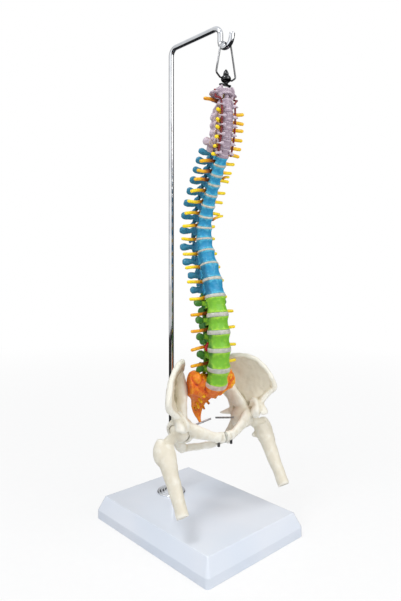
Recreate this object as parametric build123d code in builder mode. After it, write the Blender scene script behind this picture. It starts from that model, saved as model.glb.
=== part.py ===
from build123d import *
import math
import os

os.makedirs("parts", exist_ok=True)

# Spine anatomy model: a flexible spine with pelvis and femur stumps hangs from a chrome hook
# on a moulded base. Millimetres; origin on the table under the middle of the base; +Z up.
# The front of the body faces -Y. Left and right are the body's own: its left side is +X.

# Base: moulded hollow shell, closed below by a plate
base_width = 147.0
base_length = 192.5
base_height = 26.0
base_corner = 4.0
base_side_height = 10.0
base_chamfer_inset = 7.0
base_wall = 3.0
base_plate_thickness = 2.5
base_plate_gap = 0.3
boss_radius = 12.0
screw_boss_radius = 4.0
screw_boss_inset = 16.0
screw_radius = 1.5
screw_head_radius = 3.0
screw_length = 11.0

# Chrome support rod with its flange below and its hook above
rod_radius = 3.1
rod_y = 45.5
rod_bend = 9.0
arm_height = 565.3
drop_y = -39.3
hook_radius = 8.6
hook_low_z = 540.6
hook_tip_rise = 6.4
rod_foot_z = 9.0
rod_fit = 0.1
flange_radius = 17.0
flange_hub_radius = 6.5
flange_hub_height = 5.0
flange_rim_height = 1.6
nut_across_flats = 10.0
nut_thickness = 4.5
washer_radius = 8.5
washer_thickness = 1.2

# Wire link between hook and spine, and the fitting on the first vertebra
hang_y = -48.0
spine_turn = -8.0
wire_radius = 1.0
link_seat_gap = 0.05
link_top_half_width = 7.5
link_low_half_width = 15.0
link_corner_z = 510.0
link_bar_half_width = 9.0
link_bar_z = 505.6
ball_radius = 4.7
ball_bore_clearance = 0.3
acorn_tip_z = 516.5
fitting_plate_thickness = 1.5
fitting_plate_z = 498.6
fitting_leg_x = 5.8
fitting_leg_y = hang_y + 1.5
fitting_leg_radius = 1.2
fitting_leg_length = 6.5
leg_clearance = 0.05

# Spinal column: centre line of the bodies as (y, z), from the sacrum up to the first vertebra
sacral_base = (-29.1, 168.4)
sacral_slope = (-0.47, 0.88)
cervical_slope = (0.2, 0.98)
lumbar_front = (-35.6, 218.0)
lumbar_head = (-28.4, 267.8)
thoracic_low = (-16.3, 303.3)
thoracic_back = (-6.9, 334.0)
thoracic_mid = (-14.9, 370.8)
thoracic_head = (-36.8, 413.3)
cervical_low = (-46.3, 434.4)
cervical_front = (-50.6, 465.0)
cervical_head = (-46.0, 496.8)

# Each vertebra: its step along the column, and half width and half depth of its body
vertebra_sizes = {
    "l5": (18.0, 13.6, 11.0),
    "l4": (21.3, 13.8, 11.2),
    "l3": (19.4, 13.8, 11.2),
    "l2": (19.0, 13.2, 10.8),
    "l1": (20.8, 12.4, 10.4),
    "t12": (18.9, 12.0, 10.2),
    "t11": (18.3, 11.4, 9.8),
    "t10": (16.2, 10.4, 9.3),
    "t9": (14.8, 9.9, 9.0),
    "t8": (13.7, 9.4, 8.6),
    "t7": (12.7, 8.6, 8.0),
    "t6": (13.2, 8.2, 7.7),
    "t5": (12.9, 7.9, 7.2),
    "t4": (12.5, 7.6, 6.7),
    "t3": (11.1, 7.4, 6.3),
    "t2": (11.6, 7.3, 5.9),
    "t1": (10.2, 7.2, 5.6),
    "c7": (9.8, 7.2, 5.4),
    "c6": (9.6, 7.1, 5.2),
    "c5": (9.5, 7.0, 5.1),
    "c4": (9.4, 6.9, 5.0),
    "c3": (9.4, 6.8, 5.0),
    "c2": (14.6, 6.6, 5.0),
    "c1": (13.0, 6.6, 5.0),
}
canal_radius = {"l": 4.6, "t": 4.0, "c": 4.2}
lumbar_disc = 4.7
thoracic_disc = 2.6
cervical_disc = 2.0
disc_bulge = 0.35
body_waist = 0.86
core_radius = 1.5
core_clearance = 0.6
cord_radius = 3.1
nerve_radius = 1.6
lumbar_nerve_radius = 1.8
nerve_clearance = 0.3
artery_radius = 1.1
artery_clearance = 0.4
atlas_artery_x = 12.6
prolapse_radius = 2.6

# Pelvis and femurs, given for the left side and mirrored
hip_x = 44.0
hip_y = -24.5
hip_z = 123.5
femoral_head_radius = 11.5
hip_joint_clearance = 0.3
socket_wall = 3.6
socket_lip = 3.5
socket_fossa_depth = 1.4
mouth_radius = 21.5
pin_radius = 1.0
pin_running_fit = 0.06
pin_tilt = 9.2
pin_length = 41.0
femur_end = (68.0, -67.0, 53.0)
femur_shaft_radius = 7.3
symphysis_half_gap = 1.2
pubic_screw_radius = 1.5
pubic_screw_drop = 4.0

hook_axis = Axis((0, hang_y, 0), (0, 0, 1))
side_plane = Plane.YZ


def save(piece, name):
    piece.label = name
    export_step(piece, f"parts/{name}.step")


def save_hanging(piece, name):
    """Write a piece of the hanging spine, which has turned a little on its hook."""
    save(piece.rotate(hook_axis, spine_turn), name)


def limb(points, ovals, broad):
    """Bone limb lofted through points, each with an oval of half width and half thickness."""
    path = [Vector(*point) for point in points]
    with BuildPart() as bone:
        for i, (half_width, half_thickness) in enumerate(ovals):
            ahead = path[min(i + 1, len(path) - 1)] - path[max(i - 1, 0)]
            along = ahead.normalized()
            across = Vector(*broad) - along * Vector(*broad).dot(along)
            with BuildSketch(Plane(path[i], x_dir=across, z_dir=along)):
                Ellipse(half_width, half_thickness)
        loft()
    return bone.part


def local_limb(body, points, ovals, broad):
    """The same limb with its points given from the middle of a vertebral body."""
    return limb([body.from_local_coords(point) for point in points], ovals, broad)


# Base: shell, plate and its screws
plate_top = base_plate_thickness
cavity_height = base_height - base_wall


def rounded_plan(inset):
    """Base outline, smaller by the inset all round."""
    RectangleRounded(base_width - 2 * inset, base_length - 2 * inset, max(base_corner - inset / 2, 1.5))


with BuildPart() as base_shell:
    with BuildSketch():
        rounded_plan(0)
    extrude(amount=base_side_height)
    with BuildSketch(Plane.XY.offset(base_side_height)):
        rounded_plan(0)
    with BuildSketch(Plane.XY.offset(base_height)):
        rounded_plan(base_chamfer_inset)
    loft()
    fillet(base_shell.faces().sort_by(Axis.Z)[-1].edges(), radius=1.2)
    with BuildSketch():
        rounded_plan(base_wall)
    extrude(amount=base_side_height, mode=Mode.SUBTRACT)
    with BuildSketch(Plane.XY.offset(base_side_height)):
        rounded_plan(base_wall)
    with BuildSketch(Plane.XY.offset(cavity_height)):
        rounded_plan(base_chamfer_inset + base_wall)
    loft(mode=Mode.SUBTRACT)
    # Ribs stiffen the top, and bosses take the rod and the plate screws
    with BuildSketch(Plane.XY.offset(cavity_height - 8)):
        Rectangle(base_width - 2 * base_wall - 8, 2)
        with Locations((0, rod_y)):
            Rectangle(base_width - 2 * base_wall - 8, 2)
        Rectangle(2, base_length - 2 * base_wall - 8)
        with Locations((0, rod_y)):
            Circle(boss_radius)
    extrude(until=Until.NEXT)
    screw_x = base_width / 2 - screw_boss_inset
    screw_y = base_length / 2 - screw_boss_inset
    with BuildSketch(Plane.XY.offset(plate_top + base_plate_gap)):
        with GridLocations(2 * screw_x, 2 * screw_y, 2, 2):
            Circle(screw_boss_radius)
    extrude(until=Until.NEXT)
    with BuildSketch(Plane.XY.offset(plate_top + base_plate_gap)):
        with GridLocations(2 * screw_x, 2 * screw_y, 2, 2):
            Circle(screw_radius)
    extrude(amount=screw_length, mode=Mode.SUBTRACT)
    with BuildSketch(Plane.XY.offset(base_height)):
        with Locations((0, rod_y)):
            Circle(rod_radius + rod_fit)
    extrude(amount=-base_height, mode=Mode.SUBTRACT)
save(base_shell.part, "base_shell")

with BuildPart() as base_plate:
    with BuildSketch():
        rounded_plan(base_wall + base_plate_gap)
    extrude(amount=base_plate_thickness)
    with BuildSketch():
        with GridLocations(2 * screw_x, 2 * screw_y, 2, 2):
            Circle(screw_radius + rod_fit)
    extrude(amount=base_plate_thickness, mode=Mode.SUBTRACT)
    with BuildSketch():
        with GridLocations(2 * screw_x, 2 * screw_y, 2, 2):
            Circle(screw_head_radius + rod_fit)
    extrude(amount=1.5, mode=Mode.SUBTRACT)
save(base_plate.part, "base_plate")

with BuildPart() as base_screws:
    with BuildSketch(Plane.XY.offset(0.1)):
        with GridLocations(2 * screw_x, 2 * screw_y, 2, 2):
            Circle(screw_head_radius)
    extrude(amount=1.4)
    with BuildSketch(Plane.XY.offset(1.5)):
        with GridLocations(2 * screw_x, 2 * screw_y, 2, 2):
            Circle(screw_radius)
    extrude(amount=screw_length - 1.5)
save(base_screws.part, "base_screws")

# Rod, flange, washer and nut
with BuildPart() as rod_flange:
    with BuildSketch(Plane.XZ.offset(-rod_y)):
        with BuildLine():
            Polyline(
                (rod_radius + rod_fit, base_height),
                (flange_radius, base_height),
                (flange_radius, base_height + flange_rim_height),
                (flange_hub_radius + 3, base_height + flange_rim_height + 1.2),
                (flange_hub_radius, base_height + flange_hub_height),
                (rod_radius + rod_fit, base_height + flange_hub_height),
                close=True,
            )
        make_face()
    revolve(axis=Axis((0, rod_y, 0), (0, 0, 1)))
save(rod_flange.part, "rod_flange")

hook_y = drop_y - hook_radius
with BuildPart() as support_rod:
    with BuildLine(Plane.YZ) as rod_path:
        foot = Line((rod_y, rod_foot_z), (rod_y, arm_height - rod_bend))
        first_bend = TangentArc(
            (rod_y, arm_height - rod_bend), (rod_y - rod_bend, arm_height), tangent=(0, 1)
        )
        arm = Line((rod_y - rod_bend, arm_height), (drop_y + rod_bend, arm_height))
        second_bend = TangentArc(
            (drop_y + rod_bend, arm_height), (drop_y, arm_height - rod_bend), tangent=(-1, 0)
        )
        drop = Line((drop_y, arm_height - rod_bend), (drop_y, hook_low_z + hook_radius))
        hook_arc = CenterArc((hook_y, hook_low_z + hook_radius), hook_radius, 0, -170)
        tip = Line(hook_arc @ 1, hook_arc @ 1 + (hook_arc % 1) * hook_tip_rise)
    with BuildSketch(Plane((0, rod_y, rod_foot_z), z_dir=(0, 0, 1))):
        Circle(rod_radius)
    sweep()
save(support_rod.part, "support_rod")

boss_foot_z = cavity_height - 8
with BuildPart() as rod_washer:
    with BuildSketch(Plane.XY.offset(boss_foot_z - washer_thickness)):
        with Locations((0, rod_y)):
            Circle(washer_radius)
            Circle(rod_radius + rod_fit, mode=Mode.SUBTRACT)
    extrude(amount=washer_thickness)
save(rod_washer.part, "rod_washer")

with BuildPart() as rod_nut:
    with BuildSketch(Plane.XY.offset(boss_foot_z - washer_thickness - nut_thickness)):
        with Locations((0, rod_y)):
            RegularPolygon(nut_across_flats / 2, 6, major_radius=False)
            Circle(rod_radius + rod_fit, mode=Mode.SUBTRACT)
    extrude(amount=nut_thickness)
save(rod_nut.part, "rod_nut")

# Wire link, a closed loop of bent wire
link_top_z = hook_low_z + rod_radius + wire_radius + link_seat_gap
with BuildPart() as hanger_link:
    with BuildLine(Plane.XZ.offset(-hang_y)) as link_path:
        FilletPolyline(
            (link_bar_half_width, link_bar_z),
            (link_low_half_width, link_corner_z),
            (link_top_half_width, link_top_z),
            (-link_top_half_width, link_top_z),
            (-link_low_half_width, link_corner_z),
            (-link_bar_half_width, link_bar_z),
            radius=3.0,
            close=True,
        )
    link_start = link_path.wires()[0]
    with BuildSketch(Plane(link_start @ 0, z_dir=link_start % 0)):
        Circle(wire_radius)
    sweep()
save(hanger_link.part, "hanger_link")

# Stations along the column
with BuildLine(Plane.YZ) as column_line:
    Spline(
        sacral_base,
        lumbar_front,
        lumbar_head,
        thoracic_low,
        thoracic_back,
        thoracic_mid,
        thoracic_head,
        cervical_low,
        cervical_front,
        cervical_head,
        tangents=(sacral_slope, cervical_slope),
    )
column = column_line.edges()[0]


def station(arc):
    """Plane across the column at a distance along it, +Z up the column and +Y to the back."""
    here = column.position_at(arc, position_mode=PositionMode.LENGTH)
    up = column.tangent_at(arc, position_mode=PositionMode.LENGTH)
    return Plane(here, x_dir=(1, 0, 0), z_dir=up)


def region(name):
    """First letter of a vertebra's name: c, t or l."""
    return name[0]


def disc_thickness(above):
    """Disc under the named vertebra; the two uppermost vertebrae have none between them."""
    if above in ("l5", "l4", "l3", "l2", "l1"):
        return lumbar_disc
    if above in ("t12", "t11"):
        return (lumbar_disc + thoracic_disc) / 2
    if region(above) == "t" or above == "c7":
        return thoracic_disc
    return cervical_disc


names = list(vertebra_sizes)
joint_arcs = [lumbar_disc / 2]
for name in names:
    joint_arcs.append(joint_arcs[-1] + vertebra_sizes[name][0])
body_low = {}
body_high = {}
for i, name in enumerate(names):
    body_low[name] = joint_arcs[i] + disc_thickness(name) / 2
    above = names[i + 1] if i + 1 < len(names) else "c1"
    body_high[name] = joint_arcs[i + 1] - disc_thickness(above) / 2


def drum(name):
    """Waisted vertebral body between its two endplates."""
    _, half_width, half_depth = vertebra_sizes[name]
    low, high = body_low[name], body_high[name]
    with BuildPart() as body:
        for arc, share in ((low, 1), ((low + high) / 2, body_waist), (high, 1)):
            with BuildSketch(station(arc)):
                Ellipse(half_width * share, half_depth * share)
        loft()
    return body.part


def vertebra(name, canal, wall, ring_low, ring_high, limbs, openings=()):
    """Body, ring round the canal, and limbs made once and mirrored."""
    half_depth = vertebra_sizes[name][2]
    low, high = body_low[name], body_high[name]
    mid = station((low + high) / 2)
    height = high - low
    canal_y = half_depth + 0.65 * canal
    body = drum(name)
    with BuildPart() as bone:
        with BuildSketch(mid.offset(ring_low * height)):
            with Locations((0, canal_y)):
                Ellipse(canal + wall, canal + 0.9 * wall)
        extrude(amount=(ring_high - ring_low) * height)
        add(body)
        for piece in limbs:
            add(piece)
            mirror(piece, about=side_plane)
        with BuildSketch(mid.offset(-height)):
            with Locations((0, canal_y)):
                Circle(canal)
        extrude(amount=2 * height, mode=Mode.SUBTRACT)
        with BuildSketch(mid.offset(-height)):
            Circle(core_radius + core_clearance)
        extrude(amount=height + (2.5 if name == "c2" else height), mode=Mode.SUBTRACT)
        for x, y, radius in openings:
            with BuildSketch(mid.offset(-height)):
                with Locations((x, y), (-x, y)):
                    Circle(radius)
            extrude(amount=2 * height, mode=Mode.SUBTRACT)
    return bone.part


def lumbar(name):
    """Kidney-shaped body, flat side wings, stout facets and a hatchet-shaped spine."""
    step, _, half_depth = vertebra_sizes[name]
    low, high = body_low[name], body_high[name]
    mid = station((low + high) / 2)
    canal = canal_radius["l"]
    y = half_depth + 0.65 * canal
    wing = local_limb(
        mid,
        [(6, y - 3, 3.6), (14, y - 1.5, 4.6), (20, y - 2, 5.2), (22.5, y - 2.2, 5.2)],
        [(3.4, 2.2), (3.0, 1.6), (3.0, 1.4), (1.2, 0.7)],
        mid.z_dir,
    )
    upper_facet = local_limb(
        mid,
        [(6.6, y + 2.4, 2.0), (7.0, y + 2.3, 0.5 * step - 1.0), (7.0, y + 2.3, 0.5 * step + 1.0)],
        [(2.6, 2.0), (2.4, 1.5), (1.6, 1.1)],
        mid.x_dir,
    )
    facet_low = -0.5 * step + {"l5": 3.6, "l4": 1.4}.get(name, -2.0)
    lower_facet = local_limb(
        mid,
        [(4.2, y + 4.8, 3.0), (4.6, y + 5.9, -0.25 * step), (4.6, y + 6.0, facet_low)],
        [(3.0, 2.2), (2.5, 1.7), (1.6, 1.1)],
        mid.x_dir,
    )
    spine = local_limb(
        mid,
        [(0, y + 4, 1), (0, y + 12, -1.5), (0, y + 21, -3.0), (0, y + 23.5, -3.5)],
        [(4.6, 2.2), (3.8, 1.5), (4.2, 1.7), (3.0, 1.0)],
        mid.z_dir,
    )
    return vertebra(name, canal, 2.6, -0.08, 0.38, [wing, upper_facet, lower_facet, spine])


def thoracic(name):
    """Heart-shaped body, club-ended side limbs and a long spine that slopes down."""
    step, _, half_depth = vertebra_sizes[name]
    low, high = body_low[name], body_high[name]
    mid = station((low + high) / 2)
    canal = canal_radius["t"]
    y = half_depth + 0.65 * canal
    reach = 15.0 if name in ("t11", "t12") else 18.5
    stout = min(1.0, step / 12.5)
    wing = local_limb(
        mid,
        [(4.5, y + 1, 1.4), (0.6 * reach, y + 5, 2.6), (reach, y + 9, 3.6), (reach + 1.8, y + 10, 3.8)],
        [(3.2 * stout, 2.4), (2.8 * stout, 2.1), (3.6 * stout, 2.8), (1.9 * stout, 1.6)],
        mid.z_dir,
    )
    facet_high = 0.5 * step + (-1.2 if name == "t1" else 0.8)
    upper_facet = local_limb(
        mid,
        [(4.8, y + 3.2, 1.0), (5.0, y + 3.0, facet_high - 2.2), (5.0, y + 2.8, facet_high)],
        [(2.0, 1.4), (2.0, 1.1), (1.2, 0.7)],
        mid.x_dir,
    )
    lower_facet = local_limb(
        mid,
        [(3.6, y + 5.4, 1.5), (4.2, y + 6.2, -0.25 * step), (4.2, y + 6.2, -0.5 * step - 0.8)],
        [(2.6, 1.6), (2.2, 1.3), (1.2, 0.8)],
        mid.x_dir,
    )
    steep = 6.0 if name in ("t11", "t12", "t1") else 10.0
    spine = local_limb(
        mid,
        [
            (0, y + 4, 1),
            (0, y + 11, 1 - 0.5 * steep),
            (0, y + 17.5, 1 - steep),
            (0, y + 19.5, 1 - 1.15 * steep),
        ],
        [(3.0, 2.2), (2.3, 1.4), (2.2, 1.5), (1.2, 0.8)],
        mid.z_dir,
    )
    return vertebra(name, canal, 2.2, -0.15, 0.42, [wing, upper_facet, lower_facet, spine])


artery_x = 9.0
artery_y = -2.5


def cervical(name):
    """Small body, side limbs bored for the artery, a wide canal and a short forked spine."""
    step, half_width, half_depth = vertebra_sizes[name]
    low, high = body_low[name], body_high[name]
    mid = station((low + high) / 2)
    height = high - low
    canal = canal_radius["c"]
    y = half_depth + 0.65 * canal
    front_bar = local_limb(
        mid,
        [
            (half_width - 2, artery_y + 0.2, -0.4),
            (artery_x + 0.4, artery_y, -0.6),
            (12.0, artery_y + 0.8, -1.4),
        ],
        [(2.0, 2.7), (1.8, 2.9), (1.1, 1.8)],
        mid.z_dir,
    )
    pillar = local_limb(
        mid,
        [(8.4, y + 3.6, -0.5 * step + 1.4), (8.2, y + 3.2, 0), (8.4, y + 3.0, 0.5 * step - 1.3)],
        [(2.6, 2.3), (3.1, 2.7), (2.6, 2.3)],
        mid.x_dir,
    )
    spine_reach = {"c7": 18.0, "c6": 14.0}.get(name, 10.5)
    spine = local_limb(
        mid,
        [(0, y + 4, 0), (0, y + 4 + 0.5 * spine_reach, -1.8), (1.0, y + 4 + spine_reach, -3.6)],
        [(2.4, 2.2), (1.8, 1.5), (1.5, 1.5)],
        mid.z_dir,
    )
    bore = [(artery_x, artery_y, artery_radius + artery_clearance)]
    return vertebra(name, canal, 2.4, -0.16, 0.3, [front_bar, pillar, spine], bore)


def axis_vertebra():
    """Second vertebra: a deeper body that carries the peg on which the first one turns."""
    name = "c2"
    step, half_width, half_depth = vertebra_sizes[name]
    low, high = body_low[name], body_high[name]
    mid = station((low + high) / 2)
    canal = canal_radius["c"]
    y = half_depth + 0.65 * canal
    shoulder = local_limb(
        mid,
        [(3.0, 0.5, -1.5), (7.2, 1.5, 1.8), (7.8, 2.4, 0.5 * step - 0.8)],
        [(3.6, 3.6), (3.6, 4.0), (2.6, 3.0)],
        mid.z_dir,
    )
    pillar = local_limb(
        mid,
        [(7.8, y + 2.8, -0.5 * step + 1.4), (7.8, y + 1.2, -0.5), (7.6, 4.4, 3.0)],
        [(2.4, 2.2), (2.7, 2.6), (2.4, 2.2)],
        mid.x_dir,
    )
    wing = local_limb(
        mid,
        [(5.5, 0.0, -1.0), (artery_x + 0.6, artery_y, -1.4), (12.6, artery_y + 0.8, -2.2)],
        [(2.4, 2.7), (2.0, 2.8), (1.1, 1.6)],
        mid.z_dir,
    )
    spine = local_limb(
        mid,
        [(0, y + 4, 0), (0, y + 9, -2.4), (1.6, y + 13, -4.2)],
        [(3.2, 2.4), (2.8, 2.0), (2.2, 1.8)],
        mid.z_dir,
    )
    peg = local_limb(
        mid,
        [(0, -0.4, 3.0), (0, -0.8, 9.0), (0, -0.6, 13.2)],
        [(2.9, 2.9), (2.5, 2.5), (2.3, 2.2)],
        mid.x_dir,
    )
    bore = [(artery_x, artery_y, artery_radius + artery_clearance)]
    return vertebra(name, canal, 2.6, -0.24, 0.3, [shoulder, pillar, wing, spine, peg], bore)


atlas_mid = station(joint_arcs[-2] + vertebra_sizes["c1"][0] / 2)


def atlas():
    """First vertebra: a ring with side masses and wide wings, and no body."""
    mid = atlas_mid
    side_mass = local_limb(
        mid,
        [(7.6, 2.4, -0.5 * vertebra_sizes["c1"][0] + 0.6), (8.0, 1.2, 0), (8.0, 1.0, 7.6)],
        [(3.4, 4.0), (3.9, 4.8), (4.4, 5.6)],
        mid.x_dir,
    )
    wing = local_limb(
        mid,
        [(8.5, 1.5, 1.0), (12.4, 2.2, 0.4), (17.0, 3.6, -0.6)],
        [(3.4, 3.6), (2.8, 3.0), (1.7, 1.9)],
        mid.z_dir,
    )
    with BuildPart() as bone:
        with BuildSketch(mid.offset(-2.2)):
            with Locations((0, 4.6)):
                Ellipse(11.2, 11.6)
        extrude(amount=6.0)
        for piece in (side_mass, wing):
            add(piece)
            mirror(piece, about=side_plane)
        with BuildSketch(mid.offset(-6)):
            with Locations((0, 1.0)):
                Ellipse(4.6, 4.6)
            with Locations((0, 6.0)):
                Ellipse(6.6, 6.6)
            with Locations((0, 2)):
                Rectangle(7.6, 8)
        extrude(amount=12, mode=Mode.SUBTRACT)
        with BuildSketch(mid.offset(-6)):
            with Locations((atlas_artery_x, 2.2), (-atlas_artery_x, 2.2)):
                Circle(artery_radius + artery_clearance)
        extrude(amount=12, mode=Mode.SUBTRACT)
        # Bores for the two legs of the fitting
        with BuildSketch(Plane.XY.offset(fitting_plate_z)):
            with Locations((fitting_leg_x, fitting_leg_y), (-fitting_leg_x, fitting_leg_y)):
                Circle(fitting_leg_radius + leg_clearance)
        extrude(amount=-fitting_leg_length - 0.5, mode=Mode.SUBTRACT)
    return bone.part


makers = {"l": lumbar, "t": thoracic, "c": cervical}
bones = {}
for name in names:
    if name == "c1":
        bones[name] = atlas()
    elif name == "c2":
        bones[name] = axis_vertebra()
    else:
        bones[name] = makers[region(name)](name)
    save_hanging(bones[name], f"vertebra_{name}")


def disc(below, above):
    """Soft disc between two endplates, bulging a little at its rim."""
    low = station(body_high[below]) if below else station(0.0)
    high = station(body_low[above])
    size_low = vertebra_sizes[below or above]
    size_high = vertebra_sizes[above]
    middle = station(body_low[above] - disc_thickness(above) / 2)
    wide = (size_low[1] + size_high[1]) / 2 + disc_bulge
    deep = (size_low[2] + size_high[2]) / 2 + disc_bulge
    canal = canal_radius[region(above)]
    with BuildPart() as pad:
        for plane, half_width, half_depth in (
            (low, size_low[1], size_low[2]),
            (middle, wide, deep),
            (high, size_high[1], size_high[2]),
        ):
            with BuildSketch(plane):
                Ellipse(half_width, half_depth)
        loft()
        with BuildSketch(middle.offset(-6)):
            Circle(core_radius + core_clearance)
            with Locations((0, deep + 0.65 * canal)):
                Circle(canal)
        extrude(amount=12, mode=Mode.SUBTRACT)
    return pad.part


def disc_group(pairs, name):
    with BuildPart() as group:
        for below, above in pairs:
            add(disc(below, above))
    save_hanging(group.part, name)


pairs = list(zip(names[:-1], names[1:]))
disc_group([pair for pair in pairs if region(pair[1]) == "t" and pair[1] != "t12"], "thoracic_discs")
disc_group([pair for pair in pairs if region(pair[1]) == "c" and pair[1] != "c1"], "cervical_discs")
for below, above in pairs:
    if above in ("l4", "l3", "l2", "l1", "t12"):
        save_hanging(disc(below, above), f"disc_{above}_{below}")
save_hanging(disc(None, "l5"), "disc_l5_s1")

# Burst disc: soft core pushed out at the right rear of the disc between l3 and l4
prolapse_joint = station(joint_arcs[names.index("l3")])
prolapse_limb = local_limb(
    prolapse_joint,
    [(-11.9, 7.3, -1.6), (-12.0, 7.4, 1.0), (-11.2, 7.0, 5.0), (-10.6, 6.8, 8.0)],
    [(1.5, 1.3), (2.3, 2.0), (2.0, 1.7), (0.8, 0.7)],
    (1, 0, 0),
)
with BuildPart() as disc_prolapse:
    add(prolapse_limb)
    add(disc("l4", "l3"), mode=Mode.SUBTRACT)
    add(bones["l3"], mode=Mode.SUBTRACT)
    add(bones["l4"], mode=Mode.SUBTRACT)
save_hanging(disc_prolapse.part, "disc_prolapse")

def tube(path, radius):
    """Round flexible rod as straight runs from point to point."""
    points = [Vector(*point) for point in path]
    with BuildPart() as rod:
        for i, point in enumerate(points):
            along = points[min(i + 1, len(points) - 1)] - points[max(i - 1, 0)]
            across = (1, 0, 0) if abs(along.X) < 0.8 * along.length else (0, 0, 1)
            with BuildSketch(Plane(point, x_dir=across, z_dir=along)):
                Circle(radius)
        loft(ruled=True)
    return rod.part


mids = {name: station((body_low[name] + body_high[name]) / 2) for name in names}
sacral_top = station(0.0)
core_path = [sacral_top.from_local_coords((0, 0, -11))]
core_path += [sacral_top.from_local_coords((0, 0, 0))]
core_path += [mids[name].origin for name in names[:-1]]
core_path[-1] = mids["c2"].from_local_coords((0, 0, -3.0))
save_hanging(tube(core_path, core_radius), "core_rod")


def canal_centre(name, up=0.0):
    canal = canal_radius[region(name)]
    return mids[name].from_local_coords((0, vertebra_sizes[name][2] + 0.65 * canal, up))


cord_path = [sacral_top.from_local_coords((0, vertebra_sizes["l5"][2] + 3.0, -6))]
cord_path += [canal_centre(name) for name in names[:-1]]
cord_path += [atlas_mid.from_local_coords((0, 7.0, 0)), atlas_mid.from_local_coords((0, 7.0, 5.0))]
save_hanging(tube(cord_path, cord_radius), "spinal_cord")

with BuildPart() as vertebral_arteries:
    artery_path = [mids["c7"].from_local_coords((artery_x, artery_y, -4))]
    artery_path += [mids[name].from_local_coords((artery_x, artery_y, 0)) for name in names[-7:-1]]
    artery_path += [mids["c2"].from_local_coords((artery_x, artery_y, 2.8))]
    artery_path += [mids["c2"].from_local_coords((11.6, -3.6, 6.0))]
    artery_path += [atlas_mid.from_local_coords((atlas_artery_x, 2.2, z)) for z in (-4.6, 4.2)]
    artery = tube(artery_path, artery_radius)
    add(artery)
    mirror(artery, about=side_plane)
save_hanging(vertebral_arteries.part, "vertebral_arteries")


def nerve_pair(i):
    """Two nerve stubs that leave the cord above a disc; on the right side they point more forward."""
    above = names[i]
    kind = region(above)
    joint = station(joint_arcs[i])
    _, half_width, half_depth = vertebra_sizes[above]
    y = half_depth + 0.65 * canal_radius[kind]
    radius = lumbar_nerve_radius if kind == "l" else nerve_radius
    rise = {"l": 3.2, "t": 1.6, "c": 0.6}[kind]
    start = (cord_radius + nerve_clearance + 0.3, y + {"l": -1.4, "t": -0.8, "c": -0.3}[kind])
    wave = math.sin(2.3 * i)
    # Reach from the middle, place front to back and height of the two tips
    left_reach = {"l": 17.0, "t": 12.5, "c": 17.0}[kind]
    if names.index("t6") <= i < names.index("c7"):
        left_reach = 17.5
    left_tip = (half_width + left_reach, y + {"l": -5.0, "t": -2.0, "c": -7.0}[kind], wave)
    right_tip = {
        "l": (half_width + 17.0, y - 3.6, -1.6 + wave),
        "t": (half_width + 16.0, y - 2.0, -1.0 + wave),
        "c": (15.4, y - 10.0, wave),
    }[kind]
    if above == "c1":
        start = (start[0], y + 1.2)
        left_tip = (20.0, y + 3.0, 1.5)
        right_tip = (22.0, y + 4.0, 2.5)
    if above == "l5":
        rise = 3.3
        left_tip = (20.0, y - 3.0, 2.2)
        right_tip = (20.0, y - 3.0, 2.2)
    stubs = []
    for side, tip in ((1, left_tip), (-1, right_tip)):
        begin = joint.from_local_coords((side * start[0], start[1], rise))
        end = joint.from_local_coords((side * tip[0], tip[1], rise + tip[2]))
        along = end - begin
        with BuildPart() as stub:
            with BuildSketch(Plane(begin, x_dir=(0, 1, 0), z_dir=along)):
                Circle(radius)
            extrude(amount=along.length)
        stubs.append(stub.part)
    return stubs


def nerve_group(levels, name):
    with BuildPart() as group:
        for i in levels:
            for stub in nerve_pair(i):
                add(stub)
    save_hanging(group.part, name)


nerve_group([i for i, name in enumerate(names) if region(name) == "l"], "lumbar_nerves")
nerve_group([i for i, name in enumerate(names) if region(name) == "t"], "thoracic_nerves")
nerve_group([i for i, name in enumerate(names) if region(name) == "c"], "cervical_nerves")

# Sacrum with the coccyx below it
# The joint with each hip bone is one flat face shared by both bones
joint_plane = Plane((28.0, -15.0, 168.0), x_dir=(0, 0, 1), z_dir=(0.97, 0.22, -0.05))
joint_plane_right = Plane((-28.0, -15.0, 168.0), x_dir=(0, 0, 1), z_dir=(-0.97, 0.22, -0.05))
sacrum_path = [
    (0, -20.2, 171.0),
    (0, -12.5, 162.0),
    (0, -4.5, 152.0),
    (0, 3.5, 143.0),
    (0, 7.0, 135.0),
    (0, 6.4, 127.0),
    (0, 1.2, 118.2),
]
sacrum_ovals = [(34.0, 9.5), (31.0, 8.5), (18.5, 6.5), (11.0, 5.0), (8.0, 3.8), (4.6, 2.8), (1.8, 1.4)]
sacral_slant = Vector(0, -0.66, 0.75)
foramen_radius = 1.9

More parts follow.
